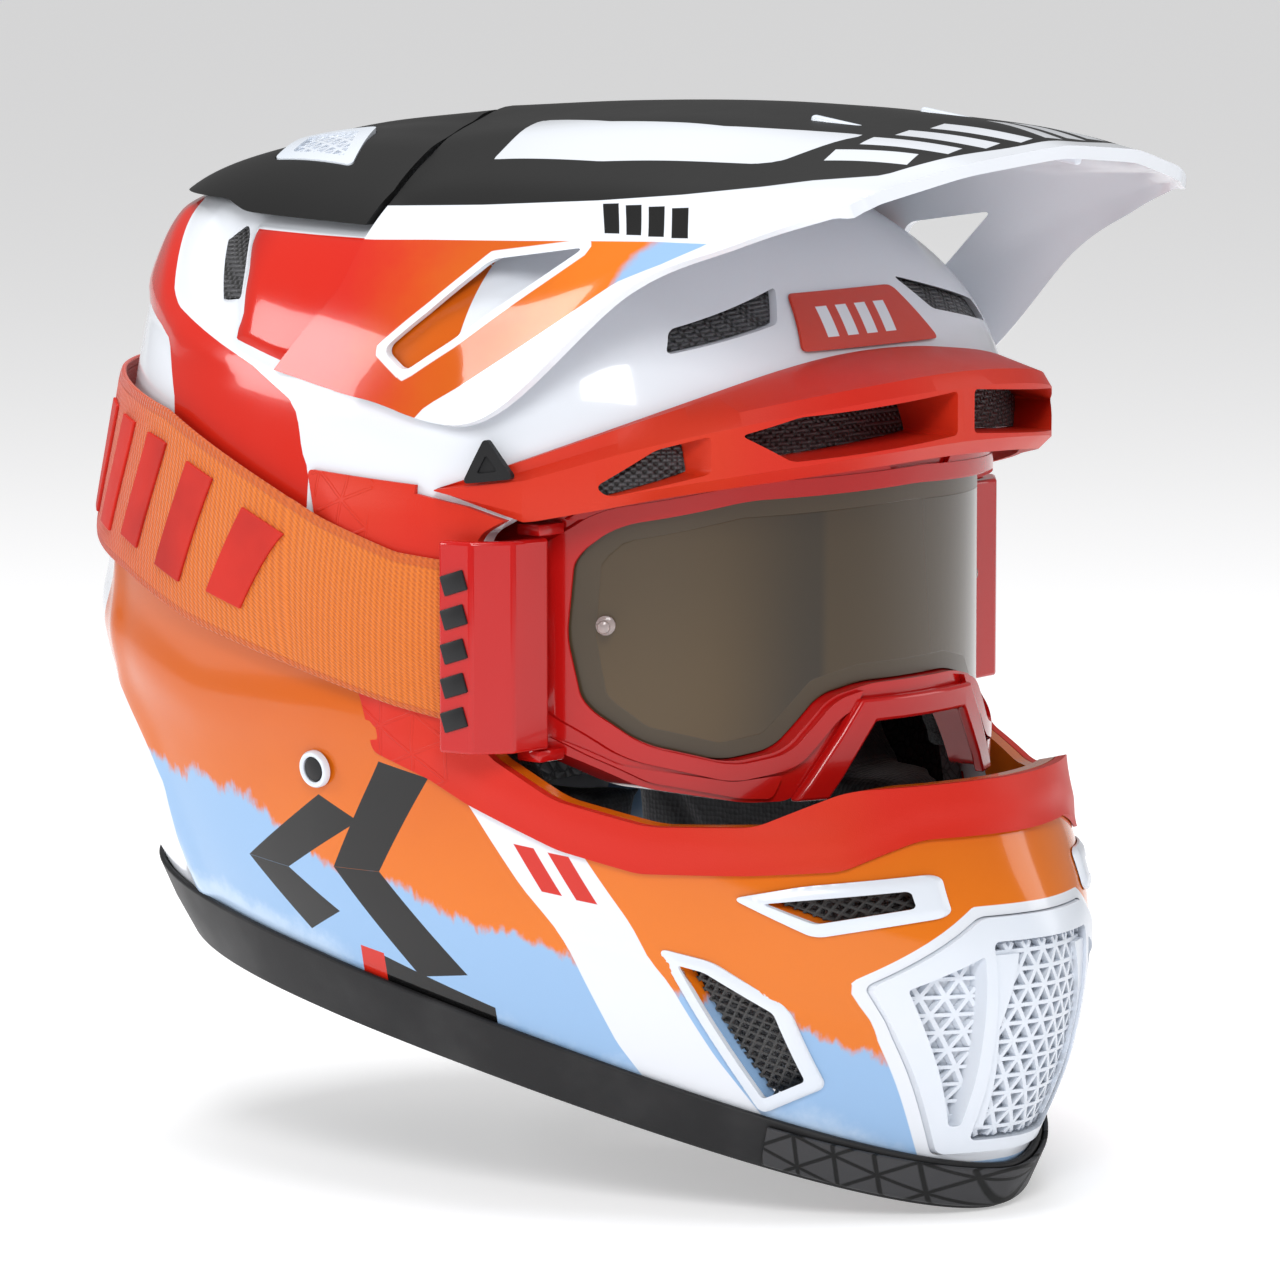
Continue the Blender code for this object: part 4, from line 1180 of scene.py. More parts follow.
class HELMET_OT_visor(bpy.types.Operator):
    """Builds the painted visor with its side windows and the rib under its peak"""

    bl_idname = "helmet.visor"
    bl_label = "Visor"

    def execute(self, context):
        rows = visor_rows()
        stations, width = rows.shape[:2]
        along = np.gradient(rows, axis=0)
        across = np.gradient(rows, axis=1)
        inward = np.cross(along, across)
        inward /= np.linalg.norm(inward, axis=-1, keepdims=True)
        inward *= np.sign(inward[20, width // 2, 2]) * -1
        thick = sizes().visor_wall
        lip = smooth((np.arange(stations) - stations + 4) / 3.0)[:, None, None] * 1.6

        def place(u, v, side):
            i = np.rint(v * (stations - 1)).astype(int)
            k = np.rint(u * (width - 1)).astype(int)
            deep = (thick + lip[i, 0]) * (1 - side[:, None])
            return rows[i, k] + inward[i, k] * deep

        made = wall(width - 1, stations - 1, place)
        made = cut(made, skin_solid(0.8), prism(VISOR_WINDOW, "side", *ACROSS, 3))
        piece = deliver(made, "visor_shown", visor_paint(), "visor", "visor_paint", ["visor"],
                        bevel=0.6, sharp=50)
        for name, outlines in (("deck", [DECK]), ("visor_band", [VISOR_BAND]),
                               ("visor_front", [VISOR_FRONT]), ("window", [VISOR_WINDOW])):
            paint_area(piece, name, outlines)
        paint_area(piece, "deck_inlay", [DECK_INLAY], "top")
        self.mark_outside(piece, rows)
        self.rib()
        return {"FINISHED"}

    def mark_outside(self, piece, rows):
        """Stores how near each point is to the outer face, so paint stays off the underside."""
        mesh = piece.data
        flat_rows = rows.reshape(-1, 3)
        tree = KDTree(len(flat_rows))
        for i, spot in enumerate(flat_rows):
            tree.insert(Vector(spot), i)
        tree.balance()
        layer = mesh.attributes.new("outer_side", "FLOAT", "POINT")
        to_mm = TO_FRAME.inverted()
        values = [1.6 - tree.find(to_mm @ v.co)[2] for v in mesh.vertices]
        layer.data.foreach_set("value", values)

    def rib(self):
        parts = []
        for x in (-26, 26):
            turn = Matrix.Rotation(math.radians(8), 4, "X")
            parts.append(rounded_box((3, 60, 7), (x, -146, 159.6), 1.2, 3, turn))
        parts.append(rounded_box((52, 3.2, 6), (0, -172, 157.2), 1.2, 3))
        deliver(gather(*parts), "visor_ribs", white_plastic(), "visor", "visor_paint")


class HELMET_OT_crown(bpy.types.Operator):
    """Builds the matt fairing on the crown and its two lattice vents"""

    bl_idname = "helmet.crown"
    bl_label = "Crown fairing"

    def execute(self, context):
        def spine(points):
            away = np.abs(points[:, 0])
            return -1.2 * smooth((away - 16) / 12) * smooth((60 - away) / 20)

        made = skin_wall(0.35, 4.6, (6.2, CROWN), cell=2.6, relief=spine)
        made = crop(made, prism(FAIRING, "side", -200, 200, 3))
        made = crop(made, prism(SEAM_PLAN, "top", 80, 220))
        vents = [prism(grown(outline, 0.35), "top", 100, 200, 3)
                 for outline in (CROWN_VENT, mirror_outline(CROWN_VENT))]
        made = cut(made, *vents)
        deliver(made, "crown_fairing_shown", matte_black(), "helmet", "matte_black", ["crown_fairing"],
                bevel=0.9, sharp=45, segments=3)
        self.vents()
        return {"FINISHED"}

    def vents(self):
        """White inserts: a raised rim round a lattice of small struts."""
        levels, turn = (8, 10.6), (30, 96)
        rim = crop(skin_wall(0.8, 4.9, levels, turn, 1.6), prism(CROWN_VENT, "top", 100, 200, 3))
        middle = grown(CROWN_VENT, -5)
        rim = cut(rim, prism(middle, "top", 100, 200, 2))
        floor = crop(skin_wall(0.8, 2.2, levels, turn, 2.5), prism(grown(CROWN_VENT, -4), "top", 100, 200, 2))
        surface = BVHTree.FromBMesh(skin_solid(0.0, (5, CROWN)))

        def lay(spots, away):
            hits = [surface.ray_cast(Vector((x, y, 400)), Vector((0, 0, -1)))[0].z for x, y in spots]
            return np.column_stack([spots, np.array(hits) + away])

        bars = lattice(middle, 5.0, 1.0, 2.0, 4.2, lay)
        pair(gather(rim, floor, bars), "crown_vent", white_plastic(), "white_plastic", 0.3)


def crossings(outline, start, way):
    """Where a line enters and leaves an outline, as distances along it."""
    found = []
    corners = np.asarray(outline, float)
    side = np.array((-way[1], way[0]))
    for a, b in zip(corners, np.roll(corners, -1, 0)):
        off_a, off_b = (a - start) @ side, (b - start) @ side
        if (off_a > 0) != (off_b > 0):
            found.append((a + (b - a) * off_a / (off_a - off_b) - start) @ way)
    return sorted(found)


def lattice(outline, pitch, width, low, high, lay):
    """Struts in three directions that cross as triangles. lay(spots, away) puts them on a surface."""
    corners = np.asarray(outline, float)
    centre, reach = corners.mean(0), np.ptp(corners, axis=0).max()
    struts = []
    for turn in (0, 60, 120):
        way = np.array((math.cos(math.radians(turn)), math.sin(math.radians(turn))))
        side = np.array((-way[1], way[0]))
        count = int(reach / pitch) + 1
        for k in range(-count, count + 1):
            start = centre + side * k * pitch
            ends = crossings(outline, start, way)
            for begin, end in zip(ends[::2], ends[1::2]):
                def place(u, v, face, start=start, begin=begin, end=end, way=way, side=side):
                    run = begin + (end - begin) * u
                    spots = start + run[:, None] * way + ((v - 0.5) * width)[:, None] * side
                    return lay(spots, low + (high - low) * face)

                struts.append(wall(max(int((end - begin) / 4), 1), 1, place))
    return gather(*struts)


class HELMET_OT_mouth_vent(bpy.types.Operator):
    """Builds the white mouth vent: its frame, blades, triangle lattice and dust filter"""

    bl_idname = "helmet.mouth_vent"
    bl_label = "Mouth vent"

    def execute(self, context):
        levels, turn = (0, 3.6), (128, 232)
        frame_part = crop(skin_wall(-8, 1.2, levels, turn, 1.8), prism(MOUTH_VENT, "front", -260, -120, 2.5))
        openings = [prism(grown(MOUTH_GRILLE, 2), "front", *AHEAD, 2)]
        slots = [MOUTH_SLOT, mirror_outline(MOUTH_SLOT)]
        openings += [prism(outline, "front", *AHEAD, 1) for outline in slots]
        frame_part = cut(frame_part, *openings)
        deliver(frame_part, "mouth_vent_frame_shown", white_plastic(), "helmet", "white_plastic",
                ["mouth_vent_frame"], bevel=0.9, sharp=40, segments=3)
        self.blades(levels, turn)
        self.grille(levels, turn)
        self.filter()
        return {"FINISHED"}

    def blades(self, levels, turn):
        """Two upright blades beside the lattice."""
        for side, sign in (("left", 1), ("right", -1)):
            blade = [(sign * x, z) for x, z in MOUTH_BLADE]
            made = crop(skin_wall(-4.6, 0.2, levels, turn, 2.2), prism(blade, "front", -260, -120))
            deliver(made, "mouth_blade_" + side, white_plastic(), "helmet", "white_plastic", bevel=0.5)

    def grille(self, levels, turn):
        surface = BVHTree.FromBMesh(skin_solid(0.0, (0, 5)))

        def lay(spots, away):
            hits = [surface.ray_cast(Vector((x, -400, z)), Vector((0, 1, 0)))[0].y for x, z in spots]
            return np.column_stack([spots[:, 0], np.array(hits) - away, spots[:, 1]])

        parts = [lattice(grown(MOUTH_GRILLE, 1), 5.4, 1.15, -3.7, -1.2, lay)]
        for outline in (MOUTH_SLOT, mirror_outline(MOUTH_SLOT)):
            parts.append(lattice(outline, 5.4, 1.1, -5.0, -3.0, lay))
        plate = crop(skin_wall(-5.4, -4.4, levels, turn, 3),
                     prism(grown(MOUTH_VENT, -3), "front", -260, -120))
        parts.append(plate)
        deliver(gather(*parts), "mouth_lattice", white_plastic(), "helmet", "white_plastic", ["mouth_grille"])

    def filter(self):
        deliver(of_node("mouth_filter"), "mouth_filter_shown", open_foam(), "helmet", "black_foam",
                ["mouth_filter"], bevel=0.8)


def brow_heights(angle):
    """Top and bottom of the brow trim at an angle round the front, and its forward bulge."""
    away = min(abs(angle - math.pi) / BROW_SPREAD, 1)
    top = 98 - 38 * away ** 1.6
    bottom = 67 - 16 * (away / 0.83) ** 1.5 if away < 0.83 else 51 + 49 * (away - 0.83)
    bulge = math.cos(min(1.3 * away, 1) * math.pi / 2) ** 2
    return top, bottom, bulge


def brow_section(angle):
    """The brow trim's section: sloping roof, upright face and upturned underside."""
    top, bottom, bulge = brow_heights(angle)
    middle = level_at((top + bottom) / 2, angle)
    base = Vector(skin(middle, angle))
    out = Vector(skin(middle, angle, 1)) - base
    out.z = 0
    out.normalize()
    reach = 3.4 + 22 * bulge

    def place(share, away):
        z = bottom + share * (top - bottom)
        clear = (Vector(skin(level_at(z, angle), angle)) - base).dot(out) + 1.2
        spot = base + out * max(away, clear)
        return Vector((spot.x, spot.y, z))

    def touch(z):
        return Vector(skin(level_at(z, angle), angle, -2))

    return [touch(top), place(0.97, 1.6), place(0.80, reach - 2.5), place(0.66, reach),
            place(0.14, reach), place(0, reach - 4), touch(bottom + 1 + 6 * bulge)]


class HELMET_OT_brow(bpy.types.Operator):
    """Builds the brow trim over the eyeport, its meshes and its corner caps"""

    bl_idname = "helmet.brow"
    bl_label = "Brow trim"

    def execute(self, context):
        steps = 84
        turns = [math.pi + 2 * BROW_SPREAD * (k / steps - 0.5) for k in range(steps + 1)]
        rings = np.array([brow_section(a) for a in turns])
        count = rings.shape[1]

        def place(u, v, side):
            i = np.rint((v * steps)).astype(int)
            k = np.rint(u * count).astype(int) % count
            return rings[i, k]

        made = wall(count, steps, place, closed=True, thick=False)
        bmesh.ops.contextual_create(made, geom=[e for e in made.edges if e.is_boundary])
        bmesh.ops.recalc_face_normals(made, faces=made.faces)
        made = cut(made, skin_solid(0.35))
        tools = []
        for outline in BROW_OPENINGS:
            for shape in (outline, mirror_outline(outline)):
                tools.append(prism(shape, "front", -200, -60, 1.5))
        made = cut(made, *tools)
        piece = deliver(made, "brow_trim_shown", soft_red(), "helmet", "red_plastic", ["brow_trim"],
                        bevel=0.8, sharp=30, segments=3)
        paint_area(piece, "embossed", [((500, 500), (501, 500), (501, 501))])
        for name, outline in (("brow_mesh", BROW_OPENINGS[0]), ("brow_side_mesh", BROW_OPENINGS[1])):
            mesh = crop(skin_wall(1.0, 2.2, (4, 8), (90, 180), 2.5),
                        prism(grown(outline, -0.35), "front", -200, -60))
            pair(mesh, name, woven_mesh(), "black_mesh")
        self.caps()
        return {"FINISHED"}

    def caps(self):
        outline = ((-61, 62), (-76, 64), (-67, 76))
        rim = crop(skin_wall(3.7, 5.2, (4, 7.5), (90, 150), 1.2), prism(outline, "side", 60, 200, 2))
        rim = cut(rim, prism(grown(outline, -2.6), "side", 60, 200, 1))
        seat = crop(skin_wall(3.7, 4.4, (4, 7.5), (90, 150), 1.6),
                    prism(grown(outline, -2), "side", 60, 200, 1))
        pair(gather(rim, seat), "brow_plug", buckle_plastic(), "black_rubber", 0.3)


class HELMET_OT_trims(bpy.types.Operator):
    """Builds the soft eyeport surround, the rubber rim, the chin guard and the forehead badge"""

    bl_idname = "helmet.trims"
    bl_label = "Rim and eyeport trims"

    def execute(self, context):
        self.eyeport()
        self.rim()
        self.guard()
        badge = crop(skin_wall(0.35, 1.1, (5, 8), (150, 210), 2), prism(BADGE, "front", *AHEAD, 2))
        deliver(badge, "forehead_badge_shown", badge_red(), "helmet", "red_plastic",
                        ["forehead_badge"], bevel=0.25)
        return {"FINISHED"}

    def eyeport(self):
        """Thick at the eyeport and thinner at its outer edge."""
        def slope(points):
            side = flat(points, "side")
            return -1.5 * (1 - smooth((depth_in(EYEPORT_TRIM, side) - 1) / 9))

        made = skin_wall(0.35, 3.0, (1.2, 6.5), (60, 300), 2.0, slope)
        made = crop(made, prism(EYEPORT_TRIM, "side", *ACROSS, 2))
        turns = [math.pi - BROW_SPREAD * (1.04 - k / 10) for k in range(6)]
        lows = [(a, brow_heights(a)[1] - 1.2) for a in turns]
        brow = [(float(skin(level_at(z, a), a)[1]), z) for a, z in lows]
        above = brow + [(-230, 60), (-230, 130), (brow[0][0], 130)]
        made = cut(made, prism(EYEPORT, "side", *ACROSS, 3))
        made = cut(made, prism(above, "side", *ACROSS))
        piece = deliver(made, "eyeport_trim_shown", soft_red(), "helmet", "red_plastic", ["eyeport_trim"],
                        bevel=0.7, sharp=40, segments=3)
        near_strap = [((-30, 66), (-4, 66), (-28, -22), (-50, -30), (-62, -16), (-30, 30))]
        paint_area(piece, "embossed", near_strap, "side", -1)

    def rim(self):
        """Rubber that wraps the shell's lower edge, deeper at the back."""
        steps = 200

        def ring(angle):
            back = 0.5 + 0.5 * math.cos(angle)
            lip = 0.03 + 0.42 * back
            drop = np.array((0, 0, 0.35))
            wall_in = -sizes().shell_wall - 1.5
            return [skin(lip, angle, 2.2), skin(lip, angle, 0.35), skin(0, angle, 0.35) - drop,
                    skin(0, angle, wall_in) - drop, skin(-0.42, angle, -4.5), skin(-0.42, angle, 1.6),
                    skin(0, angle, 2.6)]

        rings = np.array([ring(2 * math.pi * k / steps) for k in range(steps)])
        count = rings.shape[1]
        bm = bmesh.new()
        bmesh.ops.create_grid(bm, x_segments=steps, y_segments=count, size=0.5)
        for v in bm.verts:
            i = round((v.co.x + 0.5) * steps) % steps
            k = round((v.co.y + 0.5) * count) % count
            v.co = rings[i, k]
        bmesh.ops.remove_doubles(bm, verts=bm.verts, dist=1e-4)
        bmesh.ops.recalc_face_normals(bm, faces=bm.faces)
        deliver(bm, "base_trim_shown", black_rubber(), "helmet", "black_rubber", ["base_trim"],
                bevel=0.9, sharp=28, segments=3)

    def guard(self):
        steps = 60

        def ring(angle):
            places = ((0.02, 3.1), (0.02, 4.6), (-0.34, 4.0), (-0.38, 2.6))
            return [skin(level, angle, offset) for level, offset in places]

        rings = np.array([ring(math.pi + math.radians(76) * (k / steps - 0.5)) for k in range(steps + 1)])

        def place(u, v, side):
            i = np.rint(v * steps).astype(int)
            k = np.rint(u * 4).astype(int) % 4
            return rings[i, k]

        made = wall(4, steps, place, closed=True, thick=False)
        bmesh.ops.contextual_create(made, geom=[e for e in made.edges if e.is_boundary])
        bmesh.ops.recalc_face_normals(made, faces=made.faces)
        deliver(made, "chin_pad_shown", grey_rubber(), "helmet", "grey_rubber", ["chin_pad"],
                bevel=0.5, sharp=30)


@made_once
def badge_red():
    c = colours()
    f = Finish("badge_red", tuple(c.warm_red), 0.4)
    marks = f.marks(BADGE_MARKS, "front")
    f.set("Base Color", f.mix(marks, tuple(c.warm_red), tuple(c.white)))
    f.set("Roughness", grain(f) + 0.38)
    return f.material


class HELMET_OT_vents(bpy.types.Operator):
    """Builds the side, forehead and rear vents: meshes and raised surrounds"""

    bl_idname = "helmet.vents"
    bl_label = "Vents"

    def execute(self, context):
        rear = prism(grown(REAR_VENT, -0.35), "side", 60, 160)
        forehead = prism(grown(FOREHEAD_VENT, -0.35), "front", *AHEAD)
        pair(crop(skin_wall(-3.2, -1.8, (6, 9.5), (20, 110), 2.5), rear), "rear_vent_mesh",
             woven_mesh(), "black_mesh")
        pair(crop(skin_wall(-3.2, -1.8, (5.5, 8.5), (110, 180), 2.5), forehead), "forehead_vent_mesh",
             woven_mesh(), "black_mesh")
        for name, outline, border in (("slot_vent", SLOT_VENT, 4), ("chin_vent", CHIN_VENT, 3.5)):
            area = prism(grown(outline, -0.35), "side", 20, 200)
            plate = crop(skin_wall(-3.2, -2.4, (0, 4), (90, 180), 2.5), area)
            pair(plate, name + "_mesh", wire_mesh(), "black_mesh")

            def slope(points, outline=outline, border=border):
                inside = depth_in(grown(outline, border), flat(points, "side"))
                return -1.0 * (1 - smooth(inside / 2.2))

            rim = crop(skin_wall(0.35, 1.9, (0, 4), (90, 180), 1.2, slope),
                       prism(grown(outline, border), "side", 20, 200, 2.5))
            rim = cut(rim, prism(outline, "side", 20, 200, 1.2))
            pair(rim, name + "_frame", white_plastic(), "white_plastic", 0.4, segments=3)
        return {"FINISHED"}


# ------------------------------------------------------------------------ goggles

GOGGLE_AXIS_Y = -36
GOGGLE_RADIUS = 100.0


def goggle_plate(front, back, reach=76.5, low=-60, high=90):
    """An upright curved plate between two setbacks from the front of the goggles."""
    def place(u, v, side):
        turn = np.radians(reach * (2 * u - 1))
        x = GOGGLE_RADIUS * np.sin(turn)
        setback = back + (front - back) * side
        y = GOGGLE_AXIS_Y + setback - np.sqrt(GOGGLE_RADIUS ** 2 - x * x)
        return np.stack([x, y, low + v * (high - low)], -1)

    return wall(96, 3, place)


class HELMET_OT_goggles(bpy.types.Operator):
    """Builds the goggles: frame, bezel, bronze lens, nose guard, outriggers and tear-off posts"""

    bl_idname = "helmet.goggles"
    bl_label = "Goggles"

    def execute(self, context):
        outer, inner = whole(FRAME_OUTER), whole(FRAME_INNER)
        made = crop(goggle_plate(0, 12, 78), prism(outer, "front", *GOGGLE_DEPTH, 3))
        made = cut(made, prism(inner, "front", *GOGGLE_DEPTH, 4))
        for sign in (1, -1):
            slots = [rounded_box((7, 30, 11), (sign * 93.5, -62, z), 0.8) for z in (34, 5)]
            made = cut(made, *slots)
            for low, high in ((46.4, 50), (-20, -16.4)):
                lug = rounded_box((11.5, 9, high - low), (sign * 97.75, -73, (low + high) / 2), 0.8)
                made = boolean(made, lug, "UNION")
        deliver(made, "goggle_frame_shown", gloss_red(), "helmet", "goggle_red", ["goggle_frame"],
                bevel=1.1, sharp=38, segments=3)
        self.bezel(inner)
        lens = crop(goggle_plate(4, 5.8), prism(grown(inner, -0.35), "front", *GOGGLE_DEPTH, 4))
        piece = deliver(lens, "goggle_lens_shown", lens_tint(), "helmet", "bronze_lens",
                        ["goggle_lens"], bevel=0.2)
        self.lens_edge(piece, inner)
        guard = of_node("nose_guard")
        deliver(guard, "nose_guard_shown", gloss_red(), "helmet", "red_plastic", ["nose_guard"],
                bevel=1.2, sharp=35, segments=3)
        self.outriggers()
        self.posts()
        return {"FINISHED"}

    def bezel(self, inner):
        """Stepped ridge round the lens, with facets above and below it."""
        made = crop(goggle_plate(-2.0, -0.05), prism(grown(inner, 5.5), "front", *GOGGLE_DEPTH, 4))
        made = cut(made, prism(grown(inner, 0.8), "front", *GOGGLE_DEPTH, 4))
        made = cut(made, prism(((-46, -40), (-22, 2), (22, 2), (46, -40)), "front", *GOGGLE_DEPTH))
        deliver(made, "goggle_bezel", gloss_red(), "helmet", "goggle_red", bevel=1.0, sharp=35, segments=3)
        for name, outline in (("goggle_wing", FRAME_WING), ("goggle_jaw", FRAME_JAW)):
            for side, shape in (("left", mirror_outline(outline)), ("right", outline)):
                part = crop(goggle_plate(-1.6, -0.05, 76), prism(shape, "front", *GOGGLE_DEPTH, 1.5))
                deliver(part, f"{name}_{side}", gloss_red(), "helmet", "goggle_red", bevel=0.8, sharp=35)

    def lens_edge(self, piece, inner):
        mesh = piece.data
        bm = bmesh.new()
        bm.from_mesh(mesh)
        for cuts in range(2):
            long = [e for e in bm.edges if e.calc_length() > 0.004]
            bmesh.ops.subdivide_edges(bm, edges=long, cuts=3, use_grid_fill=True)
            bmesh.ops.triangulate(bm, faces=[f for f in bm.faces if len(f.verts) > 4])
        bm.to_mesh(mesh)
        bm.free()
        spots = np.array([v.co for v in mesh.vertices]) * 1000 - np.array(SHIFT)
        depth = depth_in(inner, spots[:, ::2])
        mesh.attributes.new("lens_edge", "FLOAT", "POINT").data.foreach_set("value", depth.astype(np.float32))

    def outriggers(self):
        for side, sign in (("left", 1), ("right", -1)):
            body = "outrigger_body_" + side
            deliver(of_node("outrigger_" + side), "outrigger_shown_" + side, gloss_red(), body,
                    "goggle_red", ["outrigger_" + side], bevel=1.0, sharp=30, segments=3)
            marks = []
            for z in (34, 24, 14, 4, -6):
                turn = Matrix.Rotation(math.radians(sign * 18), 4, "X")
                turn = Matrix.Rotation(math.radians(sign * -10), 4, "Z") @ turn
                marks.append(rounded_box((1.5, 8.0, 6.0), (sign * 125.9, -64, z), 0.4, 2, turn))
            deliver(gather(*marks), "outrigger_marks_" + side, buckle_plastic(), body, "buckle_plastic")

    def posts(self):
        for side, sign in (("left", 1), ("right", -1)):
            x, z = 84, 19.5
            y = GOGGLE_AXIS_Y + 4 - math.sqrt(GOGGLE_RADIUS ** 2 - x * x)
            out = Vector((x, y - GOGGLE_AXIS_Y - 4, 0)).normalized()
            spot = Vector((x, y, z)) + out * 0.35
            out.x *= sign
            spot.x *= sign
            profile = ((0, 0), (2.9, 0), (2.9, 0.9), (2.5, 1.2), (1.1, 1.4), (1.0, 3.6), (1.7, 4.1),
                       (2.0, 4.8), (1.7, 5.6), (0.9, 6.0), (0, 6.1))
            deliver(turned(profile, spot, out, 24), "tear_off_post_shown_" + side, clear_plastic(),
                    "helmet", "clear_plastic", ["tear_off_post_" + side])


class HELMET_OT_strap(bpy.types.Operator):
    """Builds the woven goggle strap in two halves, with its silicone grips and its slider"""

    bl_idname = "helmet.strap"
    bl_label = "Goggle strap"

    def execute(self, context):
        lines = self.lines()
        for side, sign in (("left", 1), ("right", -1)):
            self.half(side, sign, lines)
            self.grips(side, sign, lines)
        deliver(of_node("strap_slider"), "strap_slider_shown", buckle_plastic(), "helmet", "black_rubber",
                ["strap_slider"], bevel=0.6, sharp=30)
        return {"FINISHED"}

    def lines(self):
        """Ring numbers of the strap's lower and upper edges at each share of its run to the front."""
        levels = np.linspace(2.2, 7.5, 260)
        zf, zm, zb, yf, ym, yb, half, nf, nb = smooth_rows(SHELL_RINGS, levels).T
        end = np.arccos(-((ym + 58) / (ym - yf)) ** (nf / 2))
        shares = np.linspace(0, 1, 121)
        found = []
        for edge in (STRAP_BOTTOM, STRAP_TOP):
            ys, zs = np.array(edge, float).T
            row = []
            for share in shares:
                points = bare_skin(levels, end * share)
                row.append(np.interp(0, points[:, 2] - np.interp(points[:, 1], ys, zs), levels))
            found.append(row)
        return shares, np.array(found), levels, end

    def spot(self, lines, share, height, offset, sign):
        shares, found, levels, end = lines
        low, high = (np.interp(share, shares, row) for row in found)
        t = low + (high - low) * height
        points = skin(t, np.interp(t, levels, end) * share, offset)
        points[..., 0] *= sign
        return points

    def store(self, bm_place, piece):
        mesh = piece.data
        for name, values in zip(("run", "rise"), bm_place):
            mesh.attributes.new(name, "FLOAT", "POINT").data.foreach_set("value", values.astype(np.float32))

    def half(self, side, sign, lines):
        kept = {}
        thick = sizes().strap_thickness

        def place(u, v, flip):
            kept["run"], kept["rise"] = u * 250, v * 48
            bow = 0.5 * smooth(np.minimum(v, 1 - v) / 0.06)
            return self.spot(lines, u, v, 3.4 + (thick + bow - 0.5) * flip, sign)

        made = wall(150, 26, place)
        piece = deliver(made, "goggle_strap_" + side, elastic(), None, "strap_elastic", ["goggle_strap"],
                        bevel=0.4, sharp=50)
        self.store((kept["run"], kept["rise"]), piece)
        self.bend(piece, side, sign)

    def grips(self, side, sign, lines):
        """Raised slanted bars on the strap, longer toward the back."""
        thick = sizes().strap_thickness
        parts = []
        bars = [(0.36, 0.045, 0.16, 0.84), (0.45, 0.045, 0.16, 0.84), (0.54, 0.045, 0.20, 0.84),
                (0.63, 0.045, 0.20, 0.84), (0.72, 0.045, 0.24, 0.80)]
        for start, width, low, high in bars:
            def place(u, v, flip):
                share = start + u * width + v * 0.045
                return self.spot(lines, share, low + v * (high - low), 3.3 + thick + 1.1 * flip, sign)

            parts.append(wall(8, 18, place))
        piece = deliver(gather(*parts), "strap_grips_" + side, silicone(), None, "strap_elastic",
                        bevel=0.3, sharp=50)
        self.bend(piece, side, sign)

    def bend(self, piece, side, sign):
        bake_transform(piece)


class HELMET_OT_harness(bpy.types.Operator):
    """Builds the chin straps, buckle, pull tabs and strap rivets"""

    bl_idname = "helmet.harness"
    bl_label = "Chin harness"

    def execute(self, context):
        y = -6
        path = [(skin_width(y, z, -sizes().shell_wall - 12.3), y, z) for z in (-24, -50, -74)]
        path += [(87, y, -92), (82, y - 2, -101), (70, y - 6, -105), (52, y - 10, -107), (24, y - 14, -108)]
        path = np.array(path, float)
        run = np.linspace(0, len(path) - 1, 61)
        line = smooth_rows(path, run)
        slope = np.gradient(line, axis=0)
        face = np.stack([-slope[:, 2], np.zeros(61), slope[:, 0]], -1)
        face /= np.linalg.norm(face, axis=1, keepdims=True)

        def place(u, v, side):
            i = np.rint(v * 60).astype(int)
            edge = (u - 0.5) * 25
            spots = line[i] + face[i] * (side[:, None] - 0.5) * 1.6
            spots[:, 1] += edge
            return spots

        pair(wall(8, 60, place), "chin_strap", black_webbing(), "black_webbing", 0.3)
        for name in ("buckle_socket", "buckle_tongue"):
            deliver(of_node(name), name + "_shown", buckle_plastic(), "helmet", "buckle_plastic", [name],
                    bevel=1.6, sharp=30, segments=4)
        for side in ("left", "right"):
            deliver(of_node("release_tab_" + side), "release_tab_shown_" + side, red_webbing(),
                    "cheek_pad_assembly_" + side, "red_webbing", ["release_tab_" + side], bevel=0.5)
            self.rivet(side)
            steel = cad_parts["visor_pivot_" + side]
            steel.data.materials.clear()
            steel.data.materials.append(dark_steel())
        return {"FINISHED"}

    def rivet(self, side):
        sign = 1 if side == "left" else -1
        y, z = -6, -26
        spot = Vector((sign * (skin_width(y, z) + 0.6), y, z))
        out = Vector((sign, 0.05, -0.13)).normalized()
        ring = turned(RIVET_RING, spot, out)
        cap = turned(RIVET_CAP, spot, out)
        deliver(ring, "strap_rivet_ring_" + side, white_plastic(), "helmet", "white_plastic",
                ["strap_rivet_" + side])
        deliver(cap, "strap_rivet_cap_" + side, buckle_plastic(), "helmet", "buckle_plastic")


class HELMET_OT_padding(bpy.types.Operator):
    """Builds the impact foam and the sewn pads"""

    bl_idname = "helmet.padding"
    bl_label = "Padding"

    def execute(self, context):
        for node in ("impact_liner", "chin_bar_foam", "side_foam_left", "side_foam_right"):
            deliver(of_node(node), node + "_shown", bead_foam(), "helmet", "impact_foam", [node],
                    bevel=0.7, sharp=30)
        voxel, cap = 0.0045, 0.0022

        def liner_seams(points):
            ribs = [np.abs(np.abs(points[:, 0]) - x) for x in (18, 50)]
            hoop = np.abs(points[:, 2] - 40)
            return np.min([*ribs, hoop], axis=0)

        def cheek_seams(points):
            return distance_to_line(((-58, -50), (-50, -74), (-10, -72), (14, -44)), flat(points, "side"))

        pad("comfort_liner", "helmet", liner_cloth(), "black_cloth", 0.6, voxel, cap, liner_seams)
        pad("neck_roll", "helmet", liner_cloth(), "black_cloth", 0.8, voxel, cap)
        pad("goggle_foam", "helmet", open_foam(), "black_foam", 0.5, 0.004, 0.0012)
        for side in ("left", "right"):
            pad("cheek_pad_" + side, "cheek_pad_assembly_" + side, liner_cloth(), "black_cloth", 1.2,
                voxel, 0.0026, cheek_seams)
        return {"FINISHED"}


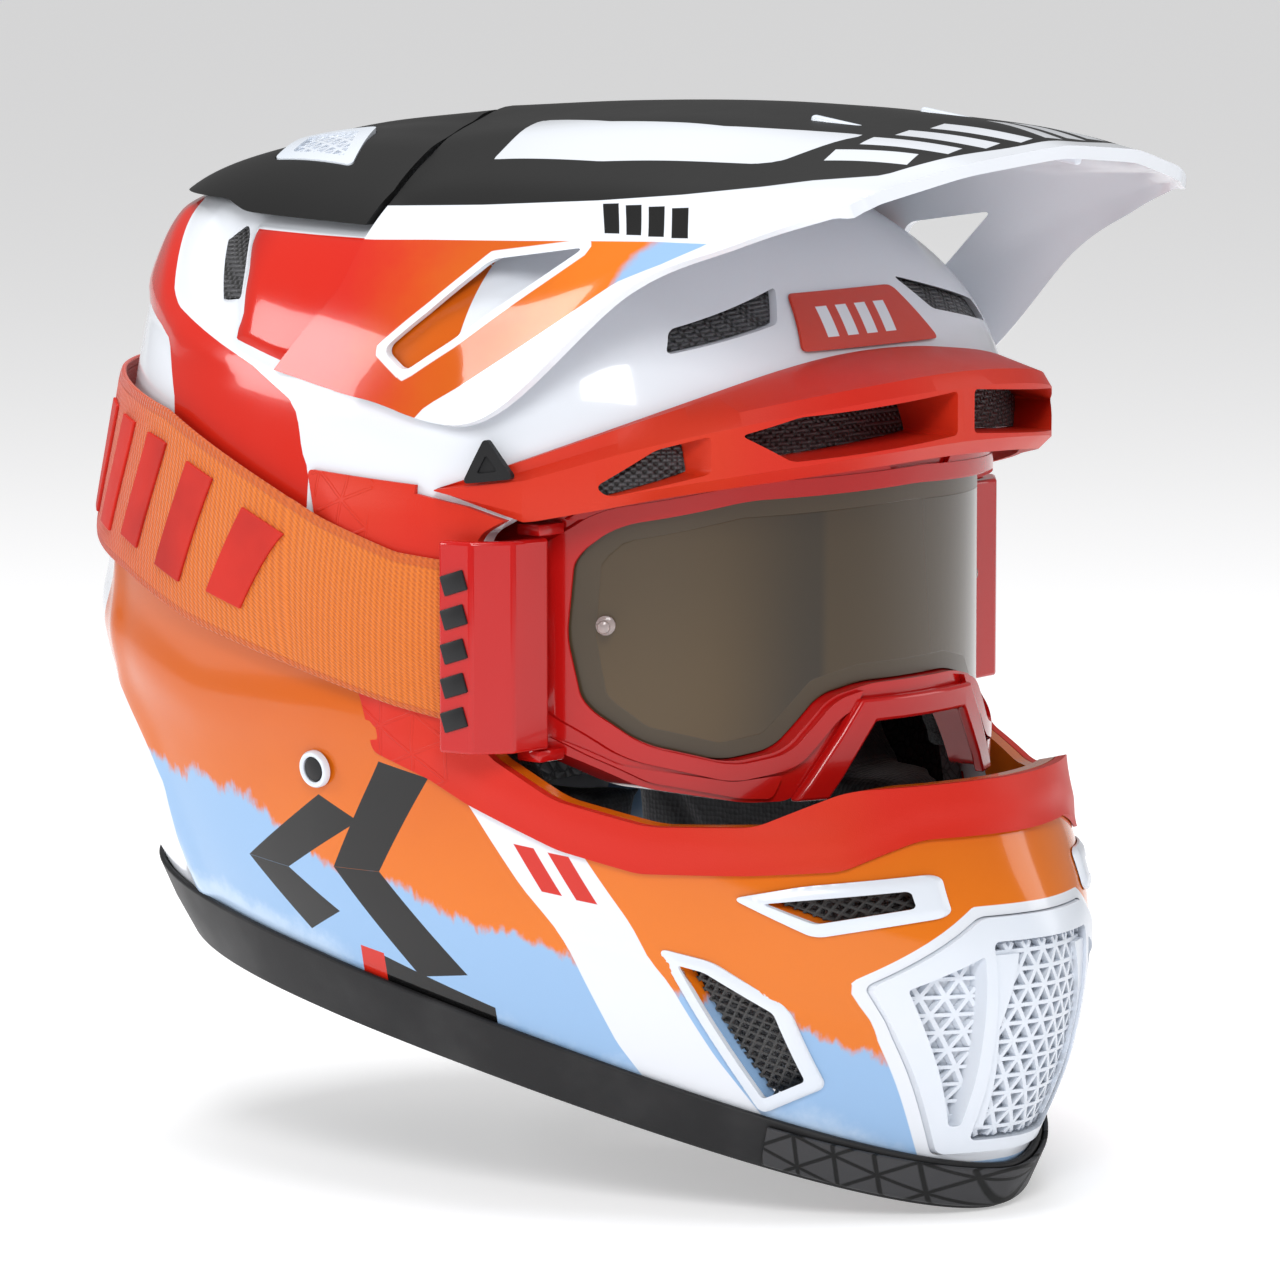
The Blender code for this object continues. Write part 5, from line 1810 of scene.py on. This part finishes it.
class HELMET_OT_stage(bpy.types.Operator):
    """Sets the floor, the soft lights and the camera"""

    bl_idname = "helmet.stage"
    bl_label = "Stage"

    def execute(self, context):
        bm = bmesh.new()
        bmesh.ops.create_grid(bm, x_segments=1, y_segments=1, size=40)
        mesh = bpy.data.meshes.new("floor")
        bm.to_mesh(mesh)
        bm.free()
        pale = Finish("pale_floor", (0.86, 0.86, 0.87), 0.7)
        pale.set("Roughness", pale.noise(3, 2.0) * 0.1 + 0.65)
        pale.set("Emission Color", (1, 1, 1))
        pale.set("Emission Strength", 0.38)
        mesh.materials.append(pale.material)
        floor = bpy.data.objects.new("floor", mesh)
        context.scene.collection.objects.link(floor)
        self.lights()
        self.camera()
        return {"FINISHED"}

    def lights(self):
        for name, spot, size, power in (
            ("key_light", (-1.5, -1.3, 1.5), 0.8, 27), ("fill_light", (1.9, -1.6, 0.9), 1.0, 8),
            ("top_light", (0.0, 0.1, 2.0), 1.0, 24), ("rim_light", (-1.5, 1.5, 1.0), 0.8, 17),
        ):
            lamp = bpy.data.lights.new(name, "AREA")
            lamp.shape = "SQUARE"
            lamp.size = size
            lamp.energy = power
            made = bpy.data.objects.new(name, lamp)
            made.location = spot
            made.rotation_euler = (Vector(spot) - Vector((0, 0, 0.16))).to_track_quat("Z", "Y").to_euler()
            bpy.context.scene.collection.objects.link(made)
        world = bpy.data.worlds.new("studio")
        world.use_nodes = True
        world.node_tree.nodes["Background"].inputs[0].default_value = (1, 1, 1, 1)
        world.node_tree.nodes["Background"].inputs[1].default_value = 0.32
        bpy.context.scene.world = world
        bpy.context.scene.view_settings.view_transform = "Standard"

    def camera(self):
        lens = bpy.data.cameras.new("camera")
        lens.lens = 219.4
        lens.sensor_width = 36
        lens.clip_end = 100
        made = bpy.data.objects.new("camera", lens)
        azimuth, elevation = math.radians(-50), math.radians(7.2)
        back = Vector((math.sin(azimuth) * math.cos(elevation), -math.cos(azimuth) * math.cos(elevation),
                       math.sin(elevation)))
        made.location = TO_FRAME @ Vector((14.1, -16.9, 0)) + back * 2.4
        made.rotation_mode = "QUATERNION"
        made.rotation_quaternion = back.to_track_quat("Z", "Y")
        bpy.context.scene.collection.objects.link(made)
        bpy.context.scene.camera = made


# ------------------------------------------------------------------- the add-on


def colour_setting(name, description, default):
    return FloatVectorProperty(name=name, description=description, default=default,
                               subtype="COLOR", size=3, min=0, max=1)


class HelmetColours(bpy.types.PropertyGroup):
    white: colour_setting("White", "Base coat of the shell and visor", (0.72, 0.75, 0.80))
    red: colour_setting("Red", "Panels at the back", (0.56, 0.018, 0.008))
    deep_red: colour_setting("Deep red", "Shaded red of the rear panels", (0.36, 0.009, 0.006))
    warm_red: colour_setting("Warm red", "Lighter red of the soft trims", (0.56, 0.030, 0.008))
    goggle_red: colour_setting("Goggle red", "Frame and outriggers", (0.50, 0.006, 0.006))
    orange: colour_setting("Orange", "Fade on the chin bar and visor", (0.70, 0.165, 0.006))
    deep_orange: colour_setting("Deep orange", "Shaded end of the fade", (0.56, 0.100, 0.004))
    blue: colour_setting("Light blue", "Lower edge of the shell", (0.27, 0.44, 0.68))
    pale_blue: colour_setting("Pale blue", "Clouds near the lower edge", (0.46, 0.60, 0.78))
    black: colour_setting("Black", "Deck, fairing and marks", (0.006, 0.006, 0.006))
    lens: colour_setting("Lens", "Bronze tint of the lens", (0.085, 0.052, 0.018))
    # Lens shade colours the painted reflection band on the lens and its darker top.
    lens_dark: colour_setting("Lens shade", "Darker side of the lens", (0.030, 0.021, 0.011))


def size_setting(name, description, default, least, most):
    return FloatProperty(name=name, description=description, default=default, min=least, max=most)


class HelmetSizes(bpy.types.PropertyGroup):
    shell_wall: size_setting("Shell wall", "Thickness of the shell in mm", 4.0, 2, 6)
    visor_wall: size_setting("Visor wall", "Thickness of the visor in mm", 2.4, 1.5, 4)
    shell_cell: size_setting("Shell detail", "Size of the shell's faces in mm", 3.0, 2, 8)
    edge_round: size_setting("Edge rounding", "Rounding of painted edges in mm", 0.6, 0, 2)
    gap: size_setting("Gap", "Gap between pieces that touch, in mm", 0.35, 0.1, 1)
    strap_thickness: size_setting("Strap", "Thickness of the goggle strap in mm", 1.8, 1, 3)
    pad_pressure: size_setting("Pad pressure", "How hard the pads are blown up", 4.0, 0, 10)


OPERATORS = (
    HELMET_OT_stage, HELMET_OT_shell, HELMET_OT_visor, HELMET_OT_crown, HELMET_OT_mouth_vent,
    HELMET_OT_brow, HELMET_OT_trims, HELMET_OT_vents, HELMET_OT_goggles, HELMET_OT_strap,
    HELMET_OT_harness, HELMET_OT_padding,
)


class HELMET_PT_panel(bpy.types.Panel):
    """Lists the helmet's pieces"""

    bl_idname = "HELMET_PT_panel"
    bl_label = "Motocross Helmet"
    bl_space_type = "VIEW_3D"
    bl_region_type = "UI"
    bl_category = "Helmet"

    def draw(self, context):
        for group in (context.scene.helmet_sizes, context.scene.helmet_colours):
            for name in group.__annotations__:
                self.layout.prop(group, name)
        for operator in OPERATORS:
            self.layout.operator(operator.bl_idname)


CLASSES = (HelmetColours, HelmetSizes, *OPERATORS, HELMET_PT_panel)


def register():
    for item in CLASSES:
        bpy.utils.register_class(item)
    bpy.types.Scene.helmet_colours = PointerProperty(type=HelmetColours)
    bpy.types.Scene.helmet_sizes = PointerProperty(type=HelmetSizes)


def unregister():
    del bpy.types.Scene.helmet_sizes
    del bpy.types.Scene.helmet_colours
    for item in reversed(CLASSES):
        bpy.utils.unregister_class(item)


def main():
    register()
    for operator in OPERATORS:
        group, name = operator.bl_idname.split(".")
        getattr(getattr(bpy.ops, group), name)()


if __name__ == "__main__":
    main()
